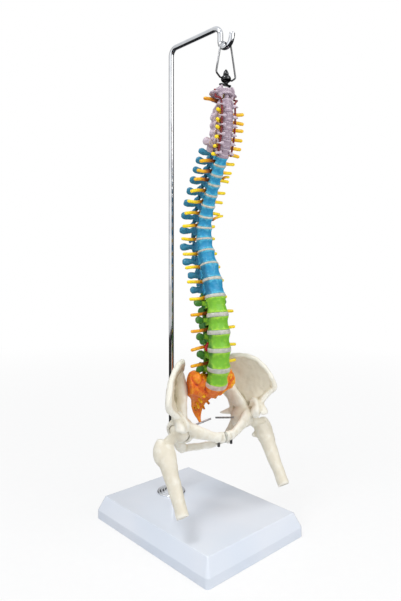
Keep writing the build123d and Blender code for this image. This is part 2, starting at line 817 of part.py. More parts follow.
sacral_facet = local_limb(
    sacral_top,
    [(9.8, 15.0, -9.0), (9.6, 17.0, 0.0), (9.4, 17.0, 4.2)],
    [(3.4, 3.0), (2.8, 2.0), (1.6, 1.2)],
    (1, 0, 0),
)
sacral_wing = limb(
    [(8.0, -19.5, 159.5), (20.0, -18.5, 166.0), (33.0, -17.5, 169.5)],
    [(8.0, 7.5), (9.0, 8.2), (10.0, 9.3)],
    (0, 0, 1),
)
with BuildPart() as sacrum:
    add(limb(sacrum_path, sacrum_ovals, (1, 0, 0)))
    with BuildSketch(sacral_top):
        Ellipse(vertebra_sizes["l5"][1], vertebra_sizes["l5"][2])
    with BuildSketch(Plane((0, -19.0, 158.5), x_dir=(1, 0, 0), z_dir=sacral_slant)):
        Ellipse(vertebra_sizes["l5"][1] * 0.8, vertebra_sizes["l5"][2] * 0.8)
    loft()
    for piece in (sacral_facet, sacral_wing):
        add(piece)
        mirror(piece, about=side_plane)
    # Median crest at the back, one low knob a segment
    for i in range(4):
        knob = Vector(*sacrum_path[i]) * 0.5 + Vector(*sacrum_path[i + 1]) * 0.5
        with BuildSketch(Plane(knob, x_dir=(1, 0, 0), z_dir=(0, 0.75, 0.66))):
            Ellipse(2.4 - 0.2 * i, 3.4 - 0.4 * i)
        extrude(amount=sacrum_ovals[i][1] + 3.0 - 0.6 * i, taper=8)
    # Four pairs of openings for the sacral nerves, and the canal down the back
    for i in range(4):
        spot = Vector(*sacrum_path[i]) * 0.35 + Vector(*sacrum_path[i + 1]) * 0.65
        across = 13.0 - 2.5 * i
        with BuildSketch(Plane(spot, x_dir=(1, 0, 0), z_dir=(0, 0.75, 0.66))):
            with Locations((across, 0), (-across, 0)):
                Circle(foramen_radius - 0.2 * i)
        extrude(amount=24, both=True, mode=Mode.SUBTRACT)
    with BuildSketch(sacral_top.offset(5)):
        with Locations((0, vertebra_sizes["l5"][2] + 3.0)):
            Ellipse(5.2, 3.7)
    extrude(amount=-20, mode=Mode.SUBTRACT)
    with BuildSketch(sacral_top):
        Circle(core_radius + core_clearance)
    extrude(amount=-12, mode=Mode.SUBTRACT)
    split(bisect_by=joint_plane, keep=Keep.BOTTOM)
    split(bisect_by=joint_plane_right, keep=Keep.BOTTOM)
save_hanging(sacrum.part, "sacrum")

# Sacral nerves end as short stubs in front of their openings
with BuildPart() as sacral_nerves:
    for i in range(4):
        spot = Vector(*sacrum_path[i]) * 0.35 + Vector(*sacrum_path[i + 1]) * 0.65
        across = 13.0 - 2.5 * i
        outward = Vector(0, -0.8, -0.6)
        for side in (1, -1):
            begin = Vector(side * across, spot.Y, spot.Z) + outward * (-2.0)
            with BuildSketch(Plane(begin, x_dir=(1, 0, 0), z_dir=(0, -0.75, -0.66))):
                Circle(foramen_radius - 0.2 * i - nerve_clearance)
            extrude(amount=13.0 - 1.5 * i)
save_hanging(sacral_nerves.part, "sacral_nerves")

# Hip bones
hip_centre = Vector(hip_x, hip_y, hip_z)
pin_way = Vector(-math.cos(math.radians(pin_tilt)), 0, math.sin(math.radians(pin_tilt)))
socket_mouth = Vector(0.75, -0.45, -0.48).normalized()
# Wing sections from the socket up to the crest: height, rear end, middle, front end, thickness
wing_sections = [
    (129.0, (38.5, -14.0), (46.5, -22.0), (53.0, -36.0), 12.0),
    (139.0, (38.0, -11.5), (48.5, -22.5), (57.0, -41.5), 9.0),
    (149.0, (33.5, -2.0), (50.5, -20.0), (64.5, -39.5), 6.0),
    (158.0, (26.5, 9.5), (51.5, -16.5), (73.0, -46.5), 5.0),
    (170.0, (22.5, 13.5), (50.5, -14.5), (70.5, -44.5), 5.0),
    (182.0, (23.5, 6.5), (47.5, -16.0), (65.0, -39.0), 5.0),
    (190.5, (28.0, -4.0), (44.5, -19.5), (58.0, -33.5), 5.0),
    (196.5, (36.0, -16.0), (41.5, -22.0), (47.0, -27.5), 3.0),
]
with BuildPart() as iliac_wing:
    for z, rear, middle, front, thickness in wing_sections:
        with BuildSketch(Plane.XY.offset(z)):
            with BuildLine() as blade:
                ThreePointArc(rear, middle, front)
            SlotArc(blade.edges()[0], thickness)
    loft()

pelvic_brim = limb(
    [
        (24.0, 9.0, 178.0),
        (30.0, -4.0, 167.0),
        (35.5, -12.5, 153.0),
        (41.0, -20.5, 140.0),
        (44.0, -26.0, 130.0),
    ],
    [(7.0, 5.0), (9.5, 8.0), (8.5, 6.5), (8.5, 7.0), (7.5, 6.5)],
    (0.3, -0.8, -0.5),
)
ischium = limb(
    [(41.0, -17.0, 120.0), (37.5, -11.5, 108.0), (33.5, -9.5, 98.5), (31.5, -10.0, 94.0)],
    [(9.5, 7.5), (7.8, 5.6), (7.2, 5.2), (3.6, 2.8)],
    (0, 1, 0),
)
ischial_spine = limb(
    [(37.0, -14.0, 131.0), (32.0, -6.0, 128.0), (27.5, 0.5, 126.0)],
    [(5.0, 2.8), (3.0, 1.8), (1.0, 0.7)],
    (0, 0, 1),
)
lower_ramus = limb(
    [(32.5, -10.0, 98.0), (21.0, -24.5, 102.0), (10.0, -38.5, 107.5), (4.0, -44.5, 111.5)],
    [(4.4, 3.2), (3.9, 2.3), (4.0, 2.3), (4.2, 2.6)],
    (0, 0, 1),
)
upper_ramus = limb(
    [(44.0, -31.0, 128.0), (34.0, -37.5, 124.5), (20.0, -44.0, 119.5), (7.0, -47.5, 115.5)],
    [(9.0, 6.5), (7.6, 5.0), (5.4, 3.8), (5.2, 3.6)],
    (0, 0, 1),
)
pubic_body = limb(
    [(12.0, -46.0, 116.0), (symphysis_half_gap - 1.0, -46.5, 114.5)],
    [(5.6, 3.2), (6.0, 3.4)],
    (0, 0, 1),
)
front_knob = limb(
    [(51.0, -31.0, 139.5), (51.5, -38.0, 138.5), (48.5, -42.3, 135.0), (46.0, -43.8, 132.8)],
    [(8.5, 5.5), (7.2, 4.8), (4.6, 3.6), (2.0, 1.6)],
    (0, 0, 1),
)
screw_spot = Plane((8.5, -46.2, 109.8), x_dir=(1, 0, 0), z_dir=(0, 0, 1))
with BuildPart() as upper_hip:
    add(iliac_wing.part)
    add(pelvic_brim)
    split(bisect_by=joint_plane, keep=Keep.TOP)

socket_radius = femoral_head_radius + hip_joint_clearance
socket_plane = Plane(hip_centre, x_dir=socket_mouth, z_dir=socket_mouth.cross(Vector(0, 0, 1)))
cup_radius = socket_radius + socket_wall
lip_angle = math.degrees(math.acos(socket_lip / cup_radius))
with BuildPart() as socket_cup:
    with BuildSketch(socket_plane):
        with BuildLine():
            rim = CenterArc((0, 0), cup_radius, lip_angle, 172 - lip_angle)
            Polyline(rim @ 1, ((rim @ 1).X, 0), (socket_lip, 0), rim @ 0)
        make_face()
    revolve(axis=Axis(hip_centre, socket_mouth))

with BuildPart() as socket_void:
    with BuildSketch(socket_plane):
        with BuildLine():
            bowl = CenterArc((0, 0), socket_radius, 90, 70)
            fossa_floor = (bowl @ 1).X - socket_fossa_depth
            Polyline(bowl @ 1, (fossa_floor, (bowl @ 1).Y), (fossa_floor, 0), (24, 0), (24, mouth_radius))
            Polyline(
                (24, mouth_radius),
                (socket_lip, mouth_radius),
                (socket_lip, socket_radius),
                (0, socket_radius),
            )
        make_face()
    revolve(axis=Axis(hip_centre, socket_mouth))

with BuildPart() as hip_bone_left:
    add(upper_hip.part)
    for piece in (ischium, ischial_spine, lower_ramus, upper_ramus, pubic_body, front_knob):
        add(piece)
    add(socket_cup.part)
    # Socket: open on the side where the neck of the femur leaves it
    add(socket_void.part, mode=Mode.SUBTRACT)
    split(bisect_by=Plane((symphysis_half_gap, 0, 0), z_dir=(1, 0, 0)), keep=Keep.TOP)
    # Running bore for the hip pin, and a bore for the screw under the pubis
    with BuildSketch(Plane(hip_centre, z_dir=pin_way)):
        Circle(pin_radius + pin_running_fit)
    extrude(amount=pin_length, mode=Mode.SUBTRACT)
    with BuildSketch(screw_spot.offset(-3)):
        Circle(pubic_screw_radius)
    extrude(amount=7, mode=Mode.SUBTRACT)
save_hanging(hip_bone_left.part, "hip_bone_left")

with BuildPart() as hip_bone_right:
    mirror(hip_bone_left.part, about=side_plane)
save_hanging(hip_bone_right.part, "hip_bone_right")

with BuildPart() as pubic_disc:
    with BuildSketch(Plane((-symphysis_half_gap, -46.5, 114.5), x_dir=(0, 0, 1), z_dir=(1, 0, 0))):
        Ellipse(6.0, 3.4)
    extrude(amount=2 * symphysis_half_gap)
save_hanging(pubic_disc.part, "pubic_disc")

with BuildPart() as pubic_screws:
    with BuildSketch(screw_spot.offset(4)):
        with Locations((0, 0), (-17.0, 0)):
            Circle(pubic_screw_radius)
    extrude(amount=-4 - pubic_screw_drop)
save_hanging(pubic_screws.part, "pubic_screws")

# Femur stumps
femur_neck = limb(
    [(47.0, -25.2, 122.1), (55.0, -27.0, 118.5), (65.0, -29.5, 112.5)],
    [(6.4, 5.6), (5.8, 5.0), (8.0, 7.0)],
    (0, 0, 1),
)
femur_shaft = limb(
    [(65.5, -29.5, 113.0), (67.5, -36.0, 101.0), (68.0, -49.5, 80.0), (68.0, -62.5, 60.0), femur_end],
    [(9.0, 8.0), (10.4, 9.0), (8.6, 8.2), (7.6, 7.4), (femur_shaft_radius, femur_shaft_radius)],
    (1, 0, 0),
)
trochanter = limb(
    [(68.5, -34.0, 98.0), (71.0, -31.5, 106.0), (71.5, -29.0, 114.0), (71.0, -28.0, 120.5)],
    [(9.0, 8.0), (9.4, 8.6), (7.2, 7.2), (3.0, 3.4)],
    (1, 0, 0),
)
small_trochanter = limb(
    [(63.0, -31.5, 104.5), (57.5, -28.0, 101.5), (55.0, -26.5, 100.5)],
    [(5.0, 4.2), (3.2, 2.7), (1.3, 1.1)],
    (0, 0, 1),
)
pin_plane = Plane(hip_centre, x_dir=pin_way, z_dir=(0, 1, 0))
bore_angle = math.degrees(math.asin(pin_radius / femoral_head_radius))
with BuildPart() as femoral_head:
    # Ball turned about its own pin, with the bore for that pin
    with BuildSketch(pin_plane):
        with BuildLine():
            ball = CenterArc((0, 0), femoral_head_radius, bore_angle, 180 - bore_angle)
            Polyline(ball @ 1, (0, 0), (0, pin_radius), ball @ 0)
        make_face()
    revolve(axis=Axis(hip_centre, pin_way))

with BuildPart() as femur_left:
    add(femoral_head.part)
    for piece in (femur_neck, femur_shaft, trochanter, small_trochanter):
        add(piece)
save_hanging(femur_left.part, "femur_left")

with BuildPart() as femur_right:
    mirror(femur_left.part, about=side_plane)
save_hanging(femur_right.part, "femur_right")

with BuildPart() as femur_pin_left:
    with BuildSketch(Plane(hip_centre, z_dir=pin_way)):
        Circle(pin_radius)
    extrude(amount=pin_length)
save_hanging(femur_pin_left.part, "femur_pin_left")

with BuildPart() as femur_pin_right:
    mirror(femur_pin_left.part, about=side_plane)
save_hanging(femur_pin_right.part, "femur_pin_right")

# Fitting on the first vertebra
ball_top = link_bar_z + ball_radius - 0.6
# The link keeps the hook's direction, so its bore crosses the turned fitting askew
link_way = (math.cos(math.radians(spine_turn)), -math.sin(math.radians(spine_turn)), 0)
with BuildPart() as top_fitting:
    with BuildSketch(Plane.XY.offset(fitting_plate_z)):
        with Locations((0, fitting_leg_y)):
            SlotOverall(2 * fitting_leg_x + 4, 4.6)
    extrude(amount=fitting_plate_thickness)
    with BuildSketch(Plane.XY.offset(fitting_plate_z)):
        with Locations((0, hang_y)):
            Circle(2.4)
    extrude(amount=link_bar_z - fitting_plate_z)
    with Locations((0, hang_y, link_bar_z)):
        Sphere(ball_radius)
    split(bisect_by=Plane.XY.offset(ball_top), keep=Keep.BOTTOM)
    with BuildSketch(Plane.XY.offset(ball_top)):
        with Locations((0, hang_y)):
            Circle(1.2)
    extrude(amount=3.5)
    with BuildSketch(Plane.XY.offset(fitting_plate_z)):
        with Locations((fitting_leg_x, fitting_leg_y), (-fitting_leg_x, fitting_leg_y)):
            Circle(fitting_leg_radius)
    extrude(amount=-fitting_leg_length)
    with BuildSketch(Plane((0, hang_y, link_bar_z), z_dir=link_way)):
        Circle(wire_radius + ball_bore_clearance)
    extrude(amount=12, both=True, mode=Mode.SUBTRACT)
save_hanging(top_fitting.part, "top_fitting")

with BuildPart() as acorn_nut:
    with BuildSketch(Plane.XZ.offset(-hang_y)):
        with BuildLine():
            Polyline((1.25, ball_top), (3.0, ball_top), (3.0, ball_top + 1.6))
            Spline((3.0, ball_top + 1.6), (1.7, ball_top + 4.6), (0.0, acorn_tip_z))
            Polyline((0.0, acorn_tip_z), (0.0, ball_top + 3.6), (1.25, ball_top + 3.6), (1.25, ball_top))
        make_face()
    revolve(axis=hook_axis)
save_hanging(acorn_nut.part, "acorn_nut")
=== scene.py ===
"""Looks of the spine anatomy model: painted bones, nerves, chrome hook and rod, glossy base."""

import math

import bmesh
import bpy
import numpy as np
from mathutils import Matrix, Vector, noise


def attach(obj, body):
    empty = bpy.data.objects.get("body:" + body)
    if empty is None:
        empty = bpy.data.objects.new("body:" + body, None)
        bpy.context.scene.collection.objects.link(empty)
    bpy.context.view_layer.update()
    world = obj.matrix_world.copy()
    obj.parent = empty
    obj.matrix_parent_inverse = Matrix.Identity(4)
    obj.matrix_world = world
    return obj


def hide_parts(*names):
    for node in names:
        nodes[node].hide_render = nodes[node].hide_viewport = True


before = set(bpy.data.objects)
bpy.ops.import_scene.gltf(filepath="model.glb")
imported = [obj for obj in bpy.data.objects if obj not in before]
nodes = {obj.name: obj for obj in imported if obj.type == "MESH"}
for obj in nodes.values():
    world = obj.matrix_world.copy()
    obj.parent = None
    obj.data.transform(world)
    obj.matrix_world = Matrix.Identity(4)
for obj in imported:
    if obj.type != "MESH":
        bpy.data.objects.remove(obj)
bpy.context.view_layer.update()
MM = 0.001
SPINE = "stand_and_spine"
scene = bpy.context.scene


def make_camera():
    """Level camera at the photograph's place, looking to the back left of the model."""
    data = bpy.data.cameras.new("camera")
    data.sensor_width = 36.0
    data.lens = 31.69
    data.shift_x = 0.001
    data.shift_y = -0.064
    data.clip_start = 0.05
    data.clip_end = 20.0
    camera = bpy.data.objects.new("camera", data)
    scene.collection.objects.link(camera)
    camera.location = (-0.4116, -0.4536, 0.306)
    camera.rotation_euler = (math.radians(90), 0, math.radians(-42.6))
    scene.camera = camera


# Node helpers
def srgb(red, green, blue):
    """Colour read as 0 to 255 from a display, as the linear colour that shaders take."""
    shares = []
    for value in (red, green, blue):
        share = value / 255
        shares.append(share / 12.92 if share <= 0.04045 else ((share + 0.055) / 1.055) ** 2.4)
    return (*shares, 1.0)


class Graph:
    """Small wrapper that makes shader nodes in a node tree and joins them."""

    def __init__(self, tree):
        self.tree = tree

    def node(self, kind, inputs=None, **settings):
        made = self.tree.nodes.new(kind)
        for key, value in settings.items():
            setattr(made, key, value)
        for key, value in (inputs or {}).items():
            self.feed(made.inputs[key], value)
        return made

    def feed(self, socket, value):
        """Joins another node's output to the socket, or sets a plain value there."""
        if isinstance(value, bpy.types.NodeSocket):
            self.tree.links.new(value, socket)
        else:
            socket.default_value = value

    def ramp(self, factor, stops, ease=True):
        """Colour ramp; stops are (position, colour)."""
        made = self.node("ShaderNodeValToRGB", {"Fac": factor})
        ramp = made.color_ramp
        ramp.interpolation = "EASE" if ease else "LINEAR"
        while len(ramp.elements) < len(stops):
            ramp.elements.new(0.5)
        for element, (position, colour) in zip(ramp.elements, stops):
            element.position = position
            element.color = colour
        return made.outputs["Color"]

    def spread(self, value, low, high, to_low=0.0, to_high=1.0):
        """Value from low to high, stretched to run from to_low to to_high, and held beyond."""
        settings = {"Value": value, "From Min": low, "From Max": high, "To Min": to_low, "To Max": to_high}
        return self.node("ShaderNodeMapRange", settings).outputs["Result"]

    def mix(self, factor, first, second):
        """Colour from first at 0 to second at 1."""
        made = self.node("ShaderNodeMix", data_type="RGBA")
        # The node has sockets of each data type; 6, 7 and output 2 are those for colours
        for place, value in ((0, factor), (6, first), (7, second)):
            self.feed(made.inputs[place], value)
        return made.outputs[2]

    def blend(self, factor, first, second):
        """Shader from first at 0 to second at 1."""
        return self.node("ShaderNodeMixShader", {0: factor, 1: first, 2: second}).outputs[0]

    def maths(self, operation, first, second):
        return self.node("ShaderNodeMath", {0: first, 1: second}, operation=operation).outputs[0]


class Finish(Graph):
    """Material whose textures lie in the space of the object."""

    def __init__(self, name):
        self.material = bpy.data.materials.new(name)
        self.material.use_nodes = True
        super().__init__(self.material.node_tree)
        self.shader = self.tree.nodes["Principled BSDF"]
        self.place = self.node("ShaderNodeTexCoord").outputs["Object"]

    def noise(self, size, detail=3.0, roughness=0.5, place=None):
        """Noise whose blotches are about size metres wide, 0 to 1."""
        settings = {"Scale": 1 / size, "Detail": detail, "Roughness": roughness}
        settings["Vector"] = place or self.place
        return self.node("ShaderNodeTexNoise", settings).outputs["Fac"]

    def attribute(self, name):
        return self.node("ShaderNodeAttribute", attribute_name=name).outputs["Fac"]

    def bump(self, height, distance, strength=1.0, under=None):
        """Normal of a surface raised by height; under is the normal that it starts from."""
        inputs = {"Height": height, "Distance": distance, "Strength": strength}
        if under is not None:
            inputs["Normal"] = under
        return self.node("ShaderNodeBump", inputs).outputs["Normal"]

    def done(self, colour, roughness, normal=None, **fixed):
        """Material with that colour, roughness and normal, and fixed values for other sockets."""
        self.feed(self.shader.inputs["Base Color"], colour)
        self.feed(self.shader.inputs["Roughness"], roughness)
        if normal is not None:
            self.feed(self.shader.inputs["Normal"], normal)
        for key, value in fixed.items():
            self.feed(self.shader.inputs[key.replace("_", " ")], value)
        return self.material


def painted_bone(name, pale, main, deep, rough=0.42, blotch=0.9, rear=0.0, extra=None):
    """Moulded painted bone form: pale on ridges as painted highlight, deep in hollows partly as darker
    paint and partly as painted shade, mottled between.

    blotch is the strength of the mottling, rear the share of the deep colour laid as painted shade
    behind the bodies, and extra adds the marks of one kind of bone.
    """
    grain = 0.00016
    g = Finish(name)
    hollow = g.attribute("hollow")
    patches = g.noise(0.006, 4.0, 0.6)
    shifted = g.maths("ADD", hollow, g.spread(patches, 0.3, 0.7, -0.1 * blotch, 0.1 * blotch))
    # Pale on ridges is painted highlight; deep in hollows is partly darker paint and partly painted shade
    colour = g.ramp(shifted, [(0.22, pale), (0.48, main), (0.62, main), (0.9, deep)])
    # Painted shade: deep colour over the arch and side limbs behind the bodies, as the rear attribute says
    if rear:
        shaded = g.maths("MULTIPLY", g.attribute("rear"), rear)
        colour = g.mix(shaded, colour, deep)
    if extra is not None:
        colour = extra(g, colour, hollow)
    fine = g.noise(0.0011, 4.0, 0.65)
    pores = g.noise(0.00045, 2.0, 0.5)
    normal = g.bump(fine, grain, 0.8)
    normal = g.bump(pores, grain * 0.35, 0.7, normal)
    roughness = g.spread(g.noise(0.004, 3.0), 0.3, 0.7, rough - 0.07, rough + 0.09)
    return g.done(colour, roughness, normal, Specular_IOR_Level=0.45)


def sacral_highlight_and_streaks(g, colour, hollow):
    """Yellow painted highlight over the raised parts of the orange, in streaks, stronger on the far side;
    and red-brown streaks at random.
    """
    streaks = g.noise(0.004, 5.0, 0.7)
    high = g.spread(hollow, 0.6, 0.4)
    across = g.node("ShaderNodeSeparateXYZ", {0: g.place}).outputs["X"]
    # The far side, +X, gets more of the yellow painted highlight than the near side
    far = g.spread(across, 0.008, 0.022, 0.4, 1.0)
    share = g.maths("MULTIPLY", g.maths("MULTIPLY", g.spread(streaks, 0.46, 0.58), high), far)
    burnt = g.mix(g.spread(g.noise(0.003, 4.0, 0.7), 0.55, 0.72, 0.0, 0.6), colour, srgb(158, 44, 12))
    return g.mix(share, burnt, srgb(252, 190, 34))


def waist_strokes(g, colour, hollow):
    """Darker green rubbed into the waist of each body, in short uneven strokes."""
    stretched = g.node("ShaderNodeMapping", {"Vector": g.place, "Scale": (1.0, 1.0, 0.45)}).outputs[0]
    strokes = g.noise(0.0028, 3.0, 0.6, stretched)
    low = g.spread(hollow, 0.52, 0.74)
    share = g.maths("MULTIPLY", g.spread(strokes, 0.44, 0.6), low)
    return g.mix(share, colour, srgb(40, 124, 50))


def bone_wash(g, colour, hollow):
    """Faint warm and greenish tinge that bone casts keep."""
    tinge = g.spread(g.noise(0.022, 3.0), 0.38, 0.66)
    return g.mix(g.maths("MULTIPLY", tinge, 0.22), colour, srgb(214, 206, 184))


def make_materials():
    made = {
        "cervical": painted_bone(
            "cervical_paint", srgb(200, 184, 196), srgb(162, 144, 158), srgb(94, 72, 90)
        ),
        # Thoracic and lumbar paints lay painted shade over the parts behind the bodies (rear)
        "thoracic": painted_bone(
            "thoracic_paint", srgb(78, 182, 214), srgb(32, 141, 188), srgb(8, 86, 126), rear=0.65
        ),
        "lumbar": painted_bone(
            "lumbar_paint",
            srgb(164, 216, 66),
            srgb(122, 190, 48),
            srgb(20, 100, 50),
            rear=0.85,
            extra=waist_strokes,
        ),
        "sacral": painted_bone(
            "sacral_paint",
            srgb(240, 122, 24),
            srgb(228, 98, 16),
            srgb(162, 38, 12),
            blotch=1.4,
            extra=sacral_highlight_and_streaks,
        ),
        "ivory": painted_bone(
            "ivory_bone",
            srgb(243, 240, 229),
            srgb(229, 222, 204),
            srgb(174, 162, 134),
            rough=0.38,
            extra=bone_wash,
        ),
        "nerve": nerve_material(),
        "chrome": chrome_material("chrome_plate", 1.0),
        # Darker copies of the chrome: painted reflection of dark surroundings on the thin wire, the ball
        # and the acorn nut
        "wire": chrome_material("wire_plate_painted_reflection", 0.5),
        "ball": chrome_material("ball_plate_painted_reflection", 0.3),
        "steel": steel_material(),
        "base": base_material(),
    }
    plastics = {
        "disc": ("disc_plastic", srgb(204, 203, 192), srgb(176, 178, 168), 0.38),
        "disc_neck": ("neck_disc_plastic", srgb(172, 154, 169), srgb(156, 137, 153), 0.42),
        "disc_low": ("low_disc_plastic", srgb(214, 196, 186), srgb(190, 168, 158), 0.38),
        "prolapse": ("prolapse_plastic", srgb(214, 30, 36), srgb(150, 12, 22), 0.3),
        "artery": ("artery_plastic", srgb(140, 34, 40), srgb(100, 18, 26), 0.35),
        "cord": ("cord_plastic", srgb(232, 208, 128), srgb(206, 172, 84), 0.4),
        "under": ("under_plate_plastic", srgb(214, 220, 228), srgb(196, 203, 213), 0.6),
    }
    for key, settings in plastics.items():
        made[key] = soft_plastic(*settings)
    return made


def soft_plastic(name, light, dark, rough):
    """Soft vinyl: slight mottling, faint mould texture and a waxy look."""
    g = Finish(name)
    mottle = g.noise(0.005, 3.0)
    colour = g.ramp(mottle, [(0.3, dark), (0.7, light)])
    normal = g.bump(g.noise(0.0009, 3.0), 0.00008, 0.7)
    roughness = g.spread(g.noise(0.003, 2.0), 0.3, 0.7, rough - 0.06, rough + 0.08)
    return g.done(colour, roughness, normal, Subsurface_Weight=0.06, Subsurface_Scale=0.002)


def nerve_material():
    """Yellow vinyl, turning orange-brown towards the root as the attribute says."""
    g = Finish("nerve_plastic")
    browning = g.attribute("browning")
    shifted = g.maths("ADD", browning, g.spread(g.noise(0.0022, 3.0), 0.3, 0.7, -0.12, 0.12))
    stops = [
        (0.08, srgb(255, 224, 26)),
        (0.4, srgb(250, 192, 20)),
        (0.72, srgb(218, 132, 20)),
        (0.96, srgb(130, 60, 18)),
    ]
    normal = g.bump(g.noise(0.001, 3.0), 0.00012, 0.7)
    roughness = g.spread(g.noise(0.003, 2.0), 0.3, 0.7, 0.34, 0.48)
    colour = g.ramp(shifted, stops)
    return g.done(colour, roughness, normal, Subsurface_Weight=0.05, Subsurface_Scale=0.0015)


def chrome_material(name, painted_brightness):
    """Plated steel with small smudges; painted_brightness below 1 darkens the colour as painted
    reflection of dark surroundings, on thin wire, the ball and the acorn nut.
    """
    g = Finish(name)
    smudge = g.noise(0.012, 4.0, 0.6)
    dull = srgb(216 * painted_brightness, 219 * painted_brightness, 224 * painted_brightness)
    bright = srgb(236 * painted_brightness, 238 * painted_brightness, 241 * painted_brightness)
    colour = g.ramp(smudge, [(0.25, dull), (0.75, bright)])
    roughness = g.spread(smudge, 0.35, 0.75, 0.04, 0.1)
    normal = g.bump(g.noise(0.006, 2.0), 0.000004, 0.4)
    return g.done(colour, roughness, normal, Metallic=1.0)


def steel_material():
    g = Finish("satin_steel")
    wear = g.noise(0.003, 4.0, 0.6)
    colour = g.ramp(wear, [(0.3, srgb(138, 138, 142)), (0.7, srgb(184, 184, 188))])
    roughness = g.spread(wear, 0.3, 0.7, 0.26, 0.42)
    normal = g.bump(g.noise(0.0008, 3.0), 0.00003, 0.6)
    return g.done(colour, roughness, normal, Metallic=1.0)


def base_material():
    """Glossy moulded polystyrene, pale bluish white, with faint waves and handling marks."""
    g = Finish("base_plastic")
    cloud = g.noise(0.09, 2.0)
    colour = g.ramp(cloud, [(0.3, srgb(226, 234, 246)), (0.7, srgb(234, 239, 248))])
    waves = g.bump(g.noise(0.05, 1.0), 0.0003, 0.35)
    orange_peel = g.bump(g.noise(0.0014, 2.0), 0.000012, 0.5, waves)
    marks = g.noise(0.02, 6.0, 0.7)
    roughness = g.spread(marks, 0.35, 0.75, 0.08, 0.18)
    gloss = {"Specular_IOR_Level": 0.6, "Coat_Weight": 0.25, "Coat_Roughness": 0.08}
    return g.done(colour, roughness, orange_peel, **gloss)


# Centre line of the spinal column before its small turn on the hook: y and z in millimetres
COLUMN = np.array(
    [
        (-29.1, 168.4),
        (-35.6, 218.0),
        (-28.4, 267.8),
        (-16.3, 303.3),
        (-6.9, 334.0),
        (-14.9, 370.8),
        (-36.8, 413.3),
        (-46.3, 434.4),
        (-50.6, 465.0),
        (-46.0, 496.8),
    ]
)
COLUMN_LEAN = np.gradient(COLUMN[:, 0], COLUMN[:, 1])
TURN = math.radians(8)
HANG_Y = -48.0

# Left hip joint and femur shaft, before that turn; the right ones are mirrored
HIP = (44.0, -24.5, 123.5)
SOCKET_RADIUS = 12.0
# Nothing is roughened up to the first of these distances from the joint's centre, all is from the second
SMOOTH_RADII = (13.0, 18.0)
SHAFT_TOP = 101.0
SHAFT_LENGTH = 48.0
SHAFT_THINNING = 0.13
# The shaft's axis, x and y: where it starts at the top, and how far it runs off over the length
SHAFT_AXIS = (67.5, -36.0)
SHAFT_DRIFT = (0.5, -31.0)


def unturned(points):
    """World points in metres as millimetres, with the turn on the hook taken out."""
    across, back = points[:, 0] / MM, points[:, 1] / MM - HANG_Y
    return np.stack(
        [
            math.cos(TURN) * across - math.sin(TURN) * back,
            math.sin(TURN) * across + math.cos(TURN) * back + HANG_Y,
            points[:, 2] / MM,
        ],
        1,
    )


def turned_way(across, back, up):
    """Direction in the unturned frame, as a world direction."""
    return np.stack(
        [
            math.cos(TURN) * across + math.sin(TURN) * back,
            -math.sin(TURN) * across + math.cos(TURN) * back,
            up,
        ],
        1,
    )


class Vertebra:
    """Where the points of one vertebra lie beside, behind and above the middle of its body."""

    def __init__(self, points):
        flat = unturned(points)
        line = np.interp(flat[:, 2], COLUMN[:, 1], COLUMN[:, 0])
        front = flat[:, 1] < line
        height = flat[front, 2]
        middle = (height.min() + height.max()) / 2
        lean = float(np.interp(middle, COLUMN[:, 1], COLUMN_LEAN))
        length = math.hypot(lean, 1)
        self.up_way = (lean / length, 1 / length)
        self.back_way = (1 / length, -lean / length)
        base = float(np.interp(middle, COLUMN[:, 1], COLUMN[:, 0]))
        away, rise = flat[:, 1] - base, flat[:, 2] - middle
        self.side = flat[:, 0]
        self.back = away * self.back_way[0] + rise * self.back_way[1]
        self.up = away * self.up_way[0] + rise * self.up_way[1]
        self.depth = -self.back.min()

    def moved(self, side, back, up):
        """World moves in metres from moves in the vertebra's own directions in millimetres."""
        y = back * self.back_way[0] + up * self.up_way[0]
        z = back * self.back_way[1] + up * self.up_way[1]
        return turned_way(side, y, z) * MM


# Mesh helpers
def link_piece(name, mesh, material, body):
    """Smooth-shaded piece of that mesh, which moves with the body."""
    piece = bpy.data.objects.new(name, mesh)
    scene.collection.objects.link(piece)
    mesh.materials.clear()
    mesh.materials.append(materials[material])
    mesh.polygons.foreach_set("use_smooth", [True] * len(mesh.polygons))
    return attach(piece, body)


def welded(names, lumps=()):
    """One mesh of the named CAD nodes with their split corners joined again, and lumps beside them."""
    bm = bmesh.new()
    for name in names:
        bm.from_mesh(nodes[name].data)
    bmesh.ops.remove_doubles(bm, verts=bm.verts, dist=2e-6)
    for lump in lumps:
        bm.from_mesh(lump)
    mesh = bpy.data.meshes.new("welded")
    bm.to_mesh(mesh)
    bm.free()
    return mesh


def remeshed(mesh, voxel):
    """Even quad mesh over everything in the mesh, overlapping lobes merged."""
    holder = bpy.data.objects.new("holder", mesh)
    scene.collection.objects.link(holder)
    modifier = holder.modifiers.new("voxel", "REMESH")
    modifier.mode = "VOXEL"
    modifier.voxel_size = voxel
    graph = bpy.context.evaluated_depsgraph_get()
    made = bpy.data.meshes.new_from_object(holder.evaluated_get(graph))
    bpy.data.objects.remove(holder)
    bpy.data.meshes.remove(mesh)
    return made


